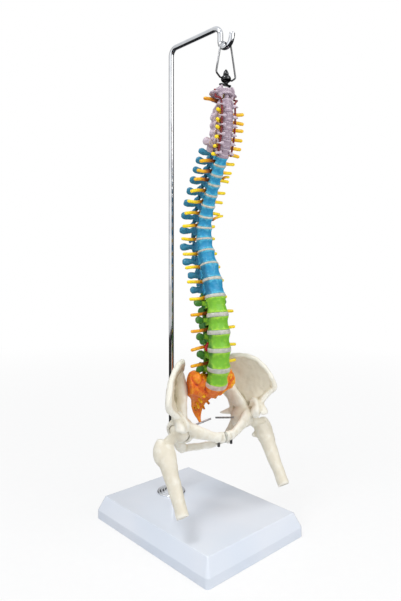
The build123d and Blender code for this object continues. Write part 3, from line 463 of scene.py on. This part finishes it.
class Clay:
    """Points of a mesh as an array, with the moves a sculptor would make.

    loose is 1 where a point may be roughened and 0 where it has to stay.
    """

    def __init__(self, mesh):
        self.mesh = mesh
        count = len(mesh.vertices)
        self.points = np.zeros(count * 3)
        mesh.vertices.foreach_get("co", self.points)
        self.points = self.points.reshape(-1, 3)
        edges = np.zeros(len(mesh.edges) * 2, int)
        mesh.edges.foreach_get("vertices", edges)
        edges = edges.reshape(-1, 2)
        self.ends = np.concatenate([edges[:, 0], edges[:, 1]])
        self.others = np.concatenate([edges[:, 1], edges[:, 0]])
        self.degree = np.maximum(np.bincount(self.ends, minlength=count), 1)
        self.loose = np.ones(count)

    def averaged(self, values):
        """Mean of the values at each point's neighbours."""
        count = len(self.points)
        sums = [np.bincount(self.ends, column[self.others], count) for column in values.T]
        return np.stack(sums, 1) / self.degree[:, None]

    def relax(self, steps):
        """Smoothing that keeps the volume."""
        for _ in range(steps):
            for share in (0.5, -0.52):
                self.points = self.points + share * (self.averaged(self.points) - self.points)

    def blurred(self, steps):
        """Points as they would lie on a much smoother surface."""
        soft = self.points
        for _ in range(steps):
            soft = soft + 0.6 * (self.averaged(soft) - soft)
        return soft

    def store(self):
        """Puts the points back into the mesh."""
        self.mesh.vertices.foreach_set("co", self.points.ravel())
        self.mesh.update()

    def normals(self):
        self.store()
        found = np.zeros(len(self.points) * 3)
        self.mesh.vertex_normals.foreach_get("vector", found)
        return found.reshape(-1, 3)

    def roughen(self, size, height, seed):
        """Uneven surface: bumps of that size, at most height high, in metres."""
        shift = Vector((seed, seed * 0.7, -seed))
        lift = np.array([noise.noise(Vector(point) / size + shift) for point in self.points.tolist()])
        self.points = self.points + self.normals() * (lift * height * self.loose)[:, None]

    def mark_hollows(self, steps, depth):
        """Attribute from 0 on ridges over 0.5 on flats to 1 in hollows of that depth in metres."""
        # The paints turn this into painted highlight on ridges and deep colour in hollows, partly painted
        # shade
        sunk = ((self.blurred(steps) - self.points) * self.normals()).sum(1) / depth
        shade = np.clip(0.5 + 0.5 * sunk, 0, 1)
        self.keep("hollow", shade)

    def keep(self, name, values):
        """Attribute that the materials read."""
        attribute = self.mesh.attributes.new(name, "FLOAT", "POINT")
        attribute.data.foreach_set("value", values.astype(np.float32))


def turned_spot(x, y, z):
    """Point of the unturned frame in millimetres as a world point in metres."""
    way = turned_way(np.array([x]), np.array([y - HANG_Y]), np.array([z]))[0]
    return Vector((way[0], way[1] + HANG_Y, way[2])) * MM


def lobe(centre, radii):
    """Egg-shaped lump to be merged into a bone; unturned frame, millimetres."""
    bm = bmesh.new()
    bmesh.ops.create_uvsphere(bm, u_segments=20, v_segments=14, radius=1.0)
    for vertex in bm.verts:
        x, y, z = vertex.co
        spot = (centre[0] + x * radii[0], centre[1] + y * radii[1], centre[2] + z * radii[2])
        vertex.co = turned_spot(*spot)
    mesh = bpy.data.meshes.new("lobe")
    bm.to_mesh(mesh)
    bm.free()
    return mesh


def ridge(points, radii):
    """Rounded ridge to be merged into a bone, along points of the unturned frame."""
    return ring_mesh("ridge", swept([turned_spot(*point) for point in points], [r * MM for r in radii], 14))


def mirrored(points, side):
    """Points of the left side, or for a side of -1 the same ones on the right."""
    return [(x * side, y, z) for x, y, z in points]


def bone(
    name,
    material,
    slot,
    voxel,
    body=SPINE,
    sculpt=None,
    relax=4,
    rough=(0.0035, 0.00022),
    blur=30,
    depth=0.0007,
    lumps=(),
):
    """Painted piece that stands for the CAD node of that name.

    voxel is the size of its faces in millimetres, relax the steps of smoothing, rough the width
    and height of its bumps in metres, and blur and depth say what counts as a hollow.
    """
    clay = Clay(remeshed(welded([name], lumps), voxel * MM))
    clay.relax(relax)
    if sculpt is not None:
        sculpt(clay)
    clay.roughen(rough[0], rough[1], len(name))
    clay.roughen(rough[0] * 0.4, rough[1] * 0.35, 7.0)
    clay.mark_hollows(blur, depth)
    clay.store()
    piece = link_piece(name + "_form", clay.mesh, material, body)
    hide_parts(name)
    return piece


def smooth_step(value, low, high):
    """0 up to low, 1 from high on, with a soft passage between."""
    share = np.clip((value - low) / (high - low), 0, 1)
    return share * share * (3 - 2 * share)


def close_arches(tall, stout, limb_start, outward=0.0):
    """Sculpt for a vertebra, in millimetres.

    Arch and joints behind the body grow taller by the share tall. The side limbs, from limb_start
    outwards, grow stouter by the share stout, and the rear corners move out and back by outward.
    """

    def sculpt(clay):
        spot = Vertebra(clay.points)
        aside = np.abs(spot.side)
        behind = smooth_step(spot.back, spot.depth * 0.85, spot.depth * 1.2)
        before_spine = 1 - smooth_step(spot.back, spot.depth + 7.0, spot.depth + 11.0)
        inside = 1 - smooth_step(aside, 8.0, 12.0)
        limb = smooth_step(aside, limb_start, limb_start + 4.0)
        arch = behind * before_spine * inside * (1 - limb)
        axis = float(np.median(spot.up[limb > 0.5]))
        lift = spot.up * arch * tall + (spot.up - axis) * limb * stout
        corner = smooth_step(aside, 4.5, 8.0)
        corner = corner * smooth_step(spot.back, spot.depth * 1.2, spot.depth * 1.8) * outward
        clay.points = clay.points + spot.moved(np.sign(spot.side) * corner, corner, lift)
        # Painted shade: the rear attribute marks the side limbs and the arch behind the body for the deep
        # colour
        shaded_limb = smooth_step(aside, limb_start, limb_start + 2.0)
        shaded_arch = smooth_step(spot.back, spot.depth * 0.95, spot.depth * 1.25)
        clay.keep("rear", np.maximum(shaded_limb, shaded_arch))

    return sculpt


def side_of(clay):
    """1 for a piece of the body's left side, at +X, and -1 for one of its right."""
    return 1.0 if unturned(clay.points)[:, 0].mean() > 0 else -1.0


def keep_joint(clay):
    """Leaves ball and socket of a hip as smooth as the CAD has them, and returns where they are."""
    away = clay.points - np.array(turned_spot(side_of(clay) * HIP[0], HIP[1], HIP[2]))
    distance = np.linalg.norm(away, axis=1) / MM
    clay.loose = smooth_step(distance, *SMOOTH_RADII)
    return away, distance


def clear_socket(clay):
    """Sculpt that keeps the hip bone clear of the ball."""
    away, distance = keep_joint(clay)
    inside = np.maximum(SOCKET_RADIUS - distance, 0) / np.maximum(distance, 1.0)
    clay.points = clay.points + away * inside[:, None]


def slim_shaft(clay):
    """Sculpt that thins the shaft of a femur towards its own axis, from below the neck down."""
    keep_joint(clay)
    flat = unturned(clay.points)
    share = np.clip((SHAFT_TOP - flat[:, 2]) / SHAFT_LENGTH, 0, 1)
    x = side_of(clay) * (SHAFT_AXIS[0] + SHAFT_DRIFT[0] * share)
    y = SHAFT_AXIS[1] + SHAFT_DRIFT[1] * share
    centre = np.stack([x, y, flat[:, 2]], 1)
    below_neck = smooth_step(SHAFT_TOP + 3.0 - flat[:, 2], 0, 14.0)
    drawn = (centre - flat) * SHAFT_THINNING * below_neck[:, None]
    clay.points = clay.points + turned_way(drawn[:, 0], drawn[:, 1], np.zeros(len(drawn))) * MM


def ring_mesh(name, rings, browning=None):
    """Tube mesh from rings of points, closed by flat ends; browning gives one value for each ring."""
    mesh = bpy.data.meshes.new(name)
    count = len(rings[0])
    points = [tuple(point) for ring in rings for point in ring]
    faces = []
    for i in range(len(rings) - 1):
        for j in range(count):
            k = (j + 1) % count
            faces.append((i * count + j, i * count + k, (i + 1) * count + k, (i + 1) * count + j))
    faces.append(tuple(reversed(range(count))))
    faces.append(tuple((len(rings) - 1) * count + j for j in range(count)))
    mesh.from_pydata(points, [], faces)
    mesh.update()
    if browning is not None:
        attribute = mesh.attributes.new("browning", "FLOAT", "POINT")
        attribute.data.foreach_set("value", np.repeat(np.array(browning, np.float32), count))
    return mesh


def swept(path, radii, sides=16):
    """Rings square to a path, turned as little as possible from one to the next."""
    path = [Vector(point) for point in path]
    rings = []
    across = None
    for i, point in enumerate(path):
        along = (path[min(i + 1, len(path) - 1)] - path[max(i - 1, 0)]).normalized()
        if across is None:
            across = along.orthogonal().normalized()
        across = (across - along * across.dot(along)).normalized()
        other = along.cross(across)
        ring = []
        for j in range(sides):
            angle = 2 * math.pi * j / sides
            ring.append(point + radii[i] * (math.cos(angle) * across + math.sin(angle) * other))
        rings.append(ring)
    return rings


def rounded_path(corners, bends, step=0.9):
    """Points along straight runs joined by arcs of the given bend radii. Millimetres."""
    corners = [Vector(corner) for corner in corners]
    points = [corners[0]]
    for i in range(1, len(corners) - 1):
        before = (corners[i - 1] - corners[i]).normalized()
        after = (corners[i + 1] - corners[i]).normalized()
        half = before.angle(after) / 2
        back = bends[i - 1] / math.tan(half)
        start = corners[i] + before * back
        end = corners[i] + after * back
        centre = corners[i] + (before + after).normalized() * (bends[i - 1] / math.sin(half))
        count = max(4, int(math.ceil(bends[i - 1] * (math.pi - 2 * half) / step)))
        for j in range(count + 1):
            share = j / count
            way = (start - centre).normalized().slerp((end - centre).normalized(), share)
            points.append(centre + way * bends[i - 1])
    points.append(corners[-1])
    return points


def lathe(name, profile, centre, segments):
    """Turned piece: profile points (radius, height) in millimetres round an upright axis."""
    mesh = bpy.data.meshes.new(name)
    points = []
    faces = []
    for j in range(segments):
        angle = 2 * math.pi * j / segments
        for radius, height in profile:
            points.append(
                (
                    (centre[0] + radius * math.cos(angle)) * MM,
                    (centre[1] + radius * math.sin(angle)) * MM,
                    height * MM,
                )
            )
    count = len(profile)
    for j in range(segments):
        k = (j + 1) % segments
        for i in range(count - 1):
            faces.append((j * count + i, k * count + i, k * count + i + 1, j * count + i + 1))
    mesh.from_pydata(points, [], faces)
    bm = bmesh.new()
    bm.from_mesh(mesh)
    bmesh.ops.remove_doubles(bm, verts=bm.verts, dist=1e-7)
    bmesh.ops.recalc_face_normals(bm, faces=bm.faces)
    bm.to_mesh(mesh)
    bm.free()
    return mesh


def dress(node, material):
    """CAD node that stays as it is, with a better finish."""
    mesh = nodes[node].data
    mesh.materials.clear()
    mesh.materials.append(materials[material])


# Nerves
NERVE_STEPS = 14
# Height in metres above which only the pair under the skull starts, brown all over
FIRST_NERVE_Z = 0.478


def islands(mesh):
    """Groups of points of the separate shells in a mesh."""
    parent = list(range(len(mesh.vertices)))

    def root(i):
        while parent[i] != i:
            parent[i] = parent[parent[i]]
            i = parent[i]
        return i

    for edge in mesh.edges:
        a, b = root(edge.vertices[0]), root(edge.vertices[1])
        parent[a] = b
    groups = {}
    for vertex in mesh.vertices:
        groups.setdefault(root(vertex.index), []).append(np.array(vertex.co))
    return [np.array(group) for group in groups.values()]


def stub_ends(node):
    """Root, tip and radius of each straight stub in a CAD group, from the lowest up."""
    found = []
    shells = islands(welded([node]))
    for shell in sorted(shells, key=lambda points: (round(points[:, 2].mean(), 4), points[:, 0].mean())):
        centre = shell.mean(0)
        _, _, axes = np.linalg.svd(shell - centre)
        along = (shell - centre) @ axes[0]
        first = centre + axes[0] * along.min()
        last = centre + axes[0] * along.max()
        if abs(first[0]) > abs(last[0]):
            first, last = last, first
        radius = float(np.linalg.norm((shell - centre) - np.outer(along, axes[0]), axis=1).max())
        found.append((Vector(first), Vector(last), radius))
    return found


def nerve_pieces(node, thicker, near_browning, far_browning, longer=0.0, branches=()):
    """Curved, slightly tapered stubs in place of the straight ones of a CAD group, and branches.

    near_browning and far_browning say how brown the stubs on the camera's side and the other side are.
    """
    bm = bmesh.new()
    for number, (start, end, radius) in enumerate(stub_ends(node) + list(branches)):
        radius = radius * thicker
        end = end + (end - start).normalized() * longer
        length = (end - start).length
        along = (end - start).normalized()
        bend = Vector((0, 0, 1)) * math.sin(number * 2.1) + along.orthogonal() * math.cos(number * 1.3)
        bend = (bend - along * bend.dot(along)).normalized() * min(0.0009, 0.08 * length)
        path, radii = [], []
        for i in range(NERVE_STEPS + 1):
            share = i / NERVE_STEPS
            path.append(start + along * (length - radius * 0.9) * share + bend * math.sin(math.pi * share))
            radii.append(radius * (1.0 - 0.08 * share))
        # Round tip
        tip = path[-1]
        for i in range(1, 6):
            angle = math.pi / 2 * i / 5
            path.append(tip + along * radius * 0.9 * math.sin(angle))
            radii.append(max(radius * 0.92 * math.cos(angle), 1e-5))
        near_side = start.x < 0 if abs(start.x) > 0.0005 else end.x < 0
        level = near_browning if near_side else far_browning
        if start.z > FIRST_NERVE_Z:
            level = 0.55
        browning = [max(0.0, 0.9 - 1.7 * share) * 0.8 + level for share in np.linspace(0, 1, len(path))]
        bm.from_mesh(ring_mesh("stub", swept(path, radii), browning))
    whole = bpy.data.meshes.new(node + "_form")
    bm.to_mesh(whole)
    bm.free()
    piece = link_piece(node + "_form", whole, "nerve", SPINE)
    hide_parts(node)


# World, lights and floor
def make_light(name, spot, size, power, colour):
    """Square area light at that spot, turned to the middle of the model."""
    data = bpy.data.lights.new(name, "AREA")
    data.shape = "RECTANGLE"
    data.size = data.size_y = size
    data.energy = power
    data.color = colour
    light = bpy.data.objects.new(name, data)
    scene.collection.objects.link(light)
    light.location = spot
    middle = Vector((0, -0.02, 0.28))
    light.rotation_euler = (Vector(spot) - middle).to_track_quat("Z", "Y").to_euler()


def make_world():
    """White to the camera, soft even light on the model, and a studio with dark cards for gloss."""
    world = bpy.data.worlds.new("studio")
    scene.world = world
    world.use_nodes = True
    world.node_tree.nodes.clear()
    g = Graph(world.node_tree)
    ray = g.node("ShaderNodeLightPath").outputs
    way = g.node("ShaderNodeTexCoord").outputs["Generated"]
    way = g.node("ShaderNodeSeparateXYZ", {0: way}).outputs
    # Cards round the horizon: share of the full turn, counted from -X, and grey level
    levels = [
        (0.0, 0.6),
        (0.06, 0.62),
        (0.13, 0.68),
        (0.2, 0.62),
        (0.3, 0.5),
        (0.33, 0.05),
        (0.56, 0.03),
        (0.6, 0.55),
        (0.66, 0.55),
        (0.7, 0.03),
        (0.78, 0.05),
        (0.82, 0.7),
    ]
    turn = g.spread(g.maths("ARCTAN2", way["Y"], way["X"]), -math.pi, math.pi)
    cards = g.ramp(turn, [(place, (level, level, level, 1)) for place, level in levels], ease=False)
    # High above, they give way to one pale ceiling
    around = g.mix(g.spread(way["Z"], 0.45, 0.7), cards, (0.8, 0.81, 0.83, 1))
    studio = g.node("ShaderNodeBackground", {"Color": around, "Strength": 1.0}).outputs[0]
    soft = g.node("ShaderNodeBackground", {"Color": (0.97, 0.98, 1.0, 1), "Strength": 0.5}).outputs[0]
    white = g.node("ShaderNodeBackground", {"Color": (1, 1, 1, 1), "Strength": 1.0}).outputs[0]
    light = g.blend(ray["Is Glossy Ray"], soft, studio)
    g.node("ShaderNodeOutputWorld", {"Surface": g.blend(ray["Is Camera Ray"], light, white)})


def make_floor():
    """Pale floor with the model's shadow; runs out to white, and looks dark in polished metal."""
    bm = bmesh.new()
    bmesh.ops.create_circle(bm, cap_ends=True, segments=96, radius=1.6)
    mesh = bpy.data.meshes.new("floor")
    bm.to_mesh(mesh)
    bm.free()
    floor = bpy.data.objects.new("floor", mesh)
    scene.collection.objects.link(floor)
    floor.location = (0, 0, -0.0002)
    g = Finish("floor_paper")
    paper = g.ramp(g.noise(0.01, 3.0), [(0.3, srgb(244, 245, 247)), (0.7, srgb(248, 249, 250))])
    g.done(paper, 0.8)
    ray = g.node("ShaderNodeLightPath").outputs
    white = g.node("ShaderNodeEmission", {"Color": (1, 1, 1, 1), "Strength": 1.0}).outputs[0]
    dark = g.node("ShaderNodeEmission", {"Color": (0.02, 0.02, 0.022, 1), "Strength": 1.0}).outputs[0]
    away = g.node("ShaderNodeVectorMath", {0: g.place}, operation="LENGTH").outputs["Value"]
    share = g.maths("MULTIPLY", ray["Is Camera Ray"], g.spread(away, 0.2, 1.4, 0.8, 1.0))
    shown = g.blend(ray["Is Glossy Ray"], g.blend(share, g.shader.outputs[0], white), dark)
    g.feed(g.tree.nodes["Material Output"].inputs["Surface"], shown)
    mesh.materials.append(g.material)


# Chrome, in millimetres
ROD_Y = 45.5
ROD_FOOT_Z = 9.0
ROD_RADIUS = 3.1
ROD_BEND = 9.0
ARM_Z = 565.3
DROP_Y = -39.3
HOOK_Z = 549.2
HOOK_RADIUS = 8.6
HOOK_DEGREES = 170
HOOK_TIP = 5.0
WIRE_RADIUS = 1.0
LINK_BAR_Z = 505.6
# Half width and half height of the ball on the link's bar
BALL_RADII = (5.6, 4.7)
# Plate with two round ends, their distance from its middle and their radius, and its two legs
PLATE_Y = HANG_Y + 1.5
PLATE_HALF = 5.5
PLATE_END = 2.3
LEG_X = 5.8
LEG_RADIUS = 1.2


def stand_for(node, mesh, material):
    """Smooth piece that stands for a chrome CAD node."""
    piece = link_piece(node + "_form", mesh, material, SPINE)
    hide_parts(node)


def rod_and_hook():
    """Rod up from the base, across, and down into its open hook, with a rounded tip."""
    corners = [(0, ROD_Y, ROD_FOOT_Z), (0, ROD_Y, ARM_Z), (0, DROP_Y, ARM_Z), (0, DROP_Y, HOOK_Z)]
    path = rounded_path(corners, [ROD_BEND] * 2)
    # A second ring just above the foot keeps the shading of the long straight run upright
    path.insert(1, Vector((0, ROD_Y, ROD_FOOT_Z + 1.0)))
    centre = Vector((0, DROP_Y - HOOK_RADIUS, HOOK_Z))
    for i in range(1, 41):
        angle = -math.radians(HOOK_DEGREES) * i / 40
        path.append(centre + Vector((0, math.cos(angle), math.sin(angle))) * HOOK_RADIUS)
    out = (path[-1] - path[-2]).normalized()
    tip = path[-1] + out * HOOK_TIP
    path.append(tip)
    radii = [ROD_RADIUS] * len(path)
    for i in range(1, 5):
        angle = math.pi / 2 * i / 4
        path.append(tip + out * 1.6 * math.sin(angle))
        radii.append(ROD_RADIUS * (0.35 + 0.65 * math.cos(angle)))
    return ring_mesh("rod", swept([point * MM for point in path], [r * MM for r in radii], 40))


def wire_link():
    """Bent wire: a long hexagon with round corners."""
    half = [(9.0, LINK_BAR_Z), (15.0, 510.0), (7.5, 544.75)]
    corners = [(x, HANG_Y, z) for x, z in half] + [(-x, HANG_Y, z) for x, z in reversed(half)]
    middle = (0, HANG_Y, LINK_BAR_Z)
    path = rounded_path([middle] + corners + [middle], [3.0] * 6, 0.4)
    return ring_mesh("link", swept([p * MM for p in path], [WIRE_RADIUS * MM] * len(path), 20))


def ball_fitting():
    """Ball and neck on a slotted plate, whose two legs stand in the first vertebra."""
    profile = [(0, 500.0), (2.4, 500.0), (2.2, 501.0), (2.1, 501.4)]
    for degrees in range(28, 150, 6):
        angle = math.radians(degrees)
        width, height = BALL_RADII
        profile.append((width * math.sin(angle), LINK_BAR_Z - height * math.cos(angle)))
    profile += [(1.2, 509.7), (1.2, 513.0), (0, 513.0)]
    bm = bmesh.new()
    bm.from_mesh(lathe("ball", profile, (0, HANG_Y), 48))
    plate = []
    for inset, z in ((0.35, 498.6), (0, 498.9), (0, 499.8), (0.35, 500.1)):
        outline = []
        for i in range(48):
            angle = 2 * math.pi * i / 48
            x = math.copysign(PLATE_HALF, math.cos(angle)) + (PLATE_END - inset) * math.cos(angle)
            y = PLATE_Y + (PLATE_END - inset) * math.sin(angle)
            outline.append(turned_spot(x, y, z))
        plate.append(outline)
    bm.from_mesh(ring_mesh("plate", plate))
    for x in (LEG_X, -LEG_X):
        leg = [turned_spot(x, PLATE_Y, z) for z in (492.2, 499.0)]
        bm.from_mesh(ring_mesh("leg", swept(leg, [LEG_RADIUS * MM] * 2)))
    whole = bpy.data.meshes.new("top_fitting_form")
    bm.to_mesh(whole)
    bm.free()
    return whole


def chrome_pieces():
    """Rod, link and fitting, the acorn nut above it, and the rosette round the rod's foot."""
    stand_for("support_rod", rod_and_hook(), "chrome")
    stand_for("hanger_link", wire_link(), "wire")
    stand_for("top_fitting", ball_fitting(), "ball")
    acorn = [(1.3, 509.7), (3.0, 509.7), (3.1, 510.4), (3.0, 511.3), (2.7, 512.6), (2.2, 513.8)]
    acorn += [(1.5, 514.9), (0.8, 515.8), (0.0, 516.4)]
    stand_for("acorn_nut", lathe("acorn", acorn, (0, HANG_Y), 48), "ball")
    rosette = [(3.15, 26.0), (17.0, 26.0), (17.0, 27.2), (16.5, 27.7), (15.4, 27.9), (14.6, 27.4)]
    rosette += [(13.8, 27.6), (13.2, 28.3), (12.2, 28.5), (11.2, 28.0), (10.4, 28.2), (9.8, 29.2)]
    rosette += [(8.8, 29.5), (8.0, 29.1), (7.2, 29.5), (6.8, 30.5), (6.0, 31.0), (3.15, 31.0)]
    rosette += [(3.15, 26.0)]
    stand_for("rod_flange", lathe("rosette", rosette, (0, ROD_Y), 64), "chrome")


# Bones, discs and nerves
def neck_lumps(node):
    """Side masses of the first vertebra, and the side limbs of the seventh."""
    if node == "vertebra_c1":
        return [lobe((side * 9.8, -42.6, 489.4), (7.4, 7.2, 5.4)) for side in (1, -1)]
    if node == "vertebra_c7":
        limb = [(6.0, -38.0, 433.5), (10.0, -36.0, 436.0), (13.0, -34.5, 438.0)]
        lumps = [ridge(mirrored(limb, side), [2.6, 3.2, 3.9]) for side in (1, -1)]
        return lumps + [lobe((side * 13.0, -34.3, 438.0), (4.3, 4.3, 4.1)) for side in (1, -1)]
    return ()


def vertebrae():
    """Bones of neck, chest and loin, with taller arches than the CAD's and each in its colour."""
    finish = {"rough": (0.0034, 0.0004), "depth": 0.0008}
    lumbar_finish = {"rough": (0.005, 0.0004), "depth": 0.0007}
    for node in nodes:
        if node.startswith("vertebra_c"):
            stout = 0.1 if node == "vertebra_c7" else -0.55
            shape = close_arches(0.5, stout, 7.5, 2.0)
            bone(node, "cervical", "cervical_lilac", 0.55, sculpt=shape, lumps=neck_lumps(node), **finish)
        elif node.startswith("vertebra_t"):
            shape = close_arches(0.6, 0.08, 8.0)
            bone(node, "thoracic", "thoracic_blue", 0.6, sculpt=shape, **finish)
        elif node.startswith("vertebra_l"):
            shape = close_arches(0.5, 0.3, 11.0)
            bone(node, "lumbar", "lumbar_green", 0.65, sculpt=shape, **lumbar_finish)


def sacral_bone():
    """Sacrum with the broad side masses of its top."""
    ala = [lobe((side * 21.5, -19.0, 176.5), (7.5, 10.0, 8.8)) for side in (1, -1)]
    ala += [lobe((side * 15.0, -22.0, 171.5), (9.0, 7.2, 9.0)) for side in (1, -1)]
    finish = {"rough": (0.0038, 0.0005), "depth": 0.0008, "relax": 9}
    bone("sacrum", "sacral", "sacral_orange", 0.75, lumps=ala, **finish)


# Thick lip round the wing of the left hip bone, from the front knob over the top to the rear:
# each point with the lip's radius there
CREST = [
    ((52.5, -40.0, 137.0), 4.2),
    ((57.0, -40.3, 142.5), 3.8),
    ((61.5, -40.8, 147.5), 3.4),
    ((66.5, -42.0, 152.0), 3.2),
    ((72.0, -45.8, 158.5), 3.3),
    ((70.2, -44.3, 170.0), 3.1),
    ((64.6, -38.8, 182.0), 3.0),
    ((57.4, -33.2, 190.5), 3.0),
    ((47.5, -27.0, 196.4), 2.8),
    ((36.0, -16.0, 196.4), 2.9),
    ((28.0, -4.2, 190.5), 3.2),
    ((23.6, 6.2, 182.0), 3.4),
    ((22.6, 12.8, 171.0), 3.4),
]


def hip_and_femur(side):
    """Hip bone with its lip and front knob, and the femur stump, of the left or right side."""
    sign = 1 if side == "left" else -1
    lip = ridge(mirrored([point for point, _ in CREST], sign), [radius for _, radius in CREST])
    knob = lobe((sign * 49.5, -39.8, 133.4), (6.6, 5.0, 7.8))
    finish = {"rough": (0.009, 0.0007), "depth": 0.0014, "relax": 12}
    name = "hip_bone_" + side
    bone(name, "ivory", "bone_ivory", 0.95, sculpt=clear_socket, lumps=[lip, knob], **finish)
    finish = {"rough": (0.01, 0.0006), "depth": 0.0016}
    bone("femur_" + side, "ivory", "bone_ivory", 0.85, side + "_femur", slim_shaft, **finish)


def discs():
    """Pale discs of the column, the tinted ones of the neck, and the burst one in red."""
    soft = {"rough": (0.003, 0.0001)}
    for node in nodes:
        if node.startswith("disc_") and node not in ("disc_prolapse", "disc_l5_s1"):
            bone(node, "disc", "disc_pale", 0.6, **soft)
    bone("disc_l5_s1", "disc_low", "disc_pale", 0.6, **soft)
    bone("thoracic_discs", "disc", "disc_pale", 0.6, **soft)
    bone("cervical_discs", "disc_neck", "cervical_disc", 0.55, **soft)
    bone("pubic_disc", "disc", "disc_pale", 0.5, **soft)
    bone("disc_prolapse", "prolapse", "prolapse_red", 0.35, rough=(0.002, 0.0002))


def nerves():
    """Nerve groups from the loin up, and the sacral one; two far chest nerves are forked."""
    branches = [
        (turned_spot(13.0, -5.0, 355.3), turned_spot(28.4, -5.0, 361.0), 0.0013),
        (turned_spot(16.3, -20.0, 401.9), turned_spot(26.5, -20.0, 405.0), 0.0013),
    ]
    nerve_pieces("lumbar_nerves", 1.08, 0.55, 0.05)
    nerve_pieces("thoracic_nerves", 1.25, 0.42, 0.12, branches=branches)
    nerve_pieces("cervical_nerves", 1.3, 0.08, 0.3)
    nerve_pieces("sacral_nerves", 1.2, 0.3, 0.1, longer=0.0035)


def plain_pieces():
    """Nodes that keep their CAD form."""
    dress("spinal_cord", "cord")
    dress("vertebral_arteries", "artery")
    for node in ("rod_nut", "rod_washer", "base_screws", "pubic_screws", "core_rod"):
        dress(node, "steel")
    for side in ("left", "right"):
        dress("femur_pin_" + side, "steel")
    dress("base_shell", "base")
    dress("base_plate", "under")


make_camera()
materials = make_materials()
make_world()
make_floor()
make_light("key", (0.15, -0.95, 0.85), 0.8, 6.0, (1.0, 0.985, 0.96))
make_light("fill", (-0.95, 0.05, 0.6), 0.8, 1.2, (0.96, 0.98, 1.0))
make_light("top", (-0.55, -0.05, 1.15), 0.3, 4.0, (1.0, 1.0, 1.0))
vertebrae()
sacral_bone()
for side in ("left", "right"):
    hip_and_femur(side)
discs()
nerves()
chrome_pieces()
plain_pieces()

scene.view_settings.view_transform = "Standard"
